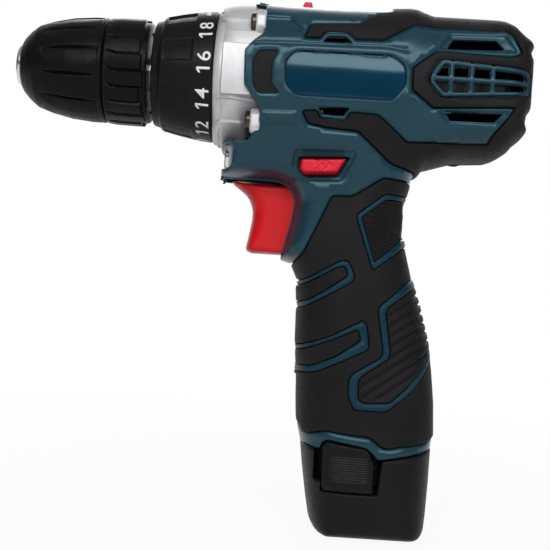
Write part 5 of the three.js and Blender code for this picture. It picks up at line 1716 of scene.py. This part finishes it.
def plane(name, corners):
    mesh = bpy.data.meshes.new(name)
    mesh.from_pydata([tuple(c * MM for c in p) for p in corners], [], [tuple(range(len(corners)))])
    made = linked(name, mesh)
    return made


def make_stage():
    left, right, back = -STAGE_REACH, STAGE_REACH, BACKDROP_Y
    ground = ((left, left), (right, left), (right, back), (left, back))
    floor = plane("floor", [(x, y, -0.05) for x, y in ground])
    floor.data.materials.append(white_to_camera("pale_floor", STAGE_GREY, 0.93, 1.0))
    top = BACKDROP_TOP
    wall = plane("backdrop", [(x, back, z) for x, z in ((left, -1), (right, -1), (right, top), (left, top))])
    wall.data.materials.append(white_to_camera("pale_backdrop", STAGE_GREY, 1.0, 1.0))


def area_light(name, place, target, size, power, mirrored_in_gloss=True):
    data = bpy.data.lights.new(name, "AREA")
    data.shape = "RECTANGLE"
    data.size, data.size_y = (s * MM for s in size)
    data.energy = power
    made = linked(name, data)
    made.location = Vector(place) * MM
    made.rotation_euler = (Vector(target) - Vector(place)).to_track_quat("-Z", "Y").to_euler()
    made.visible_glossy = mirrored_in_gloss


def make_world():
    """Soft light that is brighter from above, behind a background that the camera sees as white."""
    world = bpy.data.worlds.new("studio")
    bpy.context.scene.world = world
    world.use_nodes = True
    tree = world.node_tree
    tree.nodes.clear()
    out = tree.nodes.new("ShaderNodeOutputWorld")
    soft = tree.nodes.new("ShaderNodeBackground")
    place = tree.nodes.new("ShaderNodeTexCoord")
    parts = tree.nodes.new("ShaderNodeSeparateXYZ")
    tree.links.new(place.outputs["Generated"], parts.inputs[0])
    strength = map_range(tree, parts.outputs["Z"], (-0.2, 0.9), (0.06, 0.4))
    tree.links.new(strength, soft.inputs["Strength"])
    white = tree.nodes.new("ShaderNodeBackground")
    white.inputs["Color"].default_value = (1, 1, 1, 1)
    path = tree.nodes.new("ShaderNodeLightPath")
    mix = tree.nodes.new("ShaderNodeMixShader")
    tree.links.new(path.outputs["Is Camera Ray"], mix.inputs["Fac"])
    tree.links.new(soft.outputs[0], mix.inputs[1])
    tree.links.new(white.outputs[0], mix.inputs[2])
    tree.links.new(mix.outputs[0], out.inputs["Surface"])


CAMERA_PLACE = (-38, -345, 89.3)
CAMERA_ROLL = math.radians(3.7)
CAMERA_LENS = 62.84


def make_camera():
    data = bpy.data.cameras.new("camera")
    data.sensor_width = 36
    data.lens = CAMERA_LENS
    data.clip_start, data.clip_end = 0.01, 20
    made = linked("camera", data)
    turn = Matrix.Rotation(-CAMERA_ROLL, 4, "Y") @ Matrix.Rotation(math.pi / 2, 4, "X")
    made.matrix_world = Matrix.Translation(Vector(CAMERA_PLACE) * MM) @ turn
    bpy.context.scene.camera = made


make_housing()
make_chuck()
make_collar()
make_gear_housing()
make_joint_tongue()
make_housing_screws()
make_controls()
make_battery()
dress_kept_parts()
make_stage()
make_world()
area_light("key", (-40, -600, 480), (-20, 0, 140), (720, 230), 4.5)
area_light("fill", (420, -520, 260), (-20, 0, 110), (300, 300), 0.4, False)
area_light("bounce", (-60, -420, 30), (-30, 0, 120), (500, 200), 0.6, False)
area_light("back", (0, 560, 460), (-20, 0, 140), (600, 400), 2.6)
make_camera()

bpy.context.scene.view_settings.view_transform = "Standard"
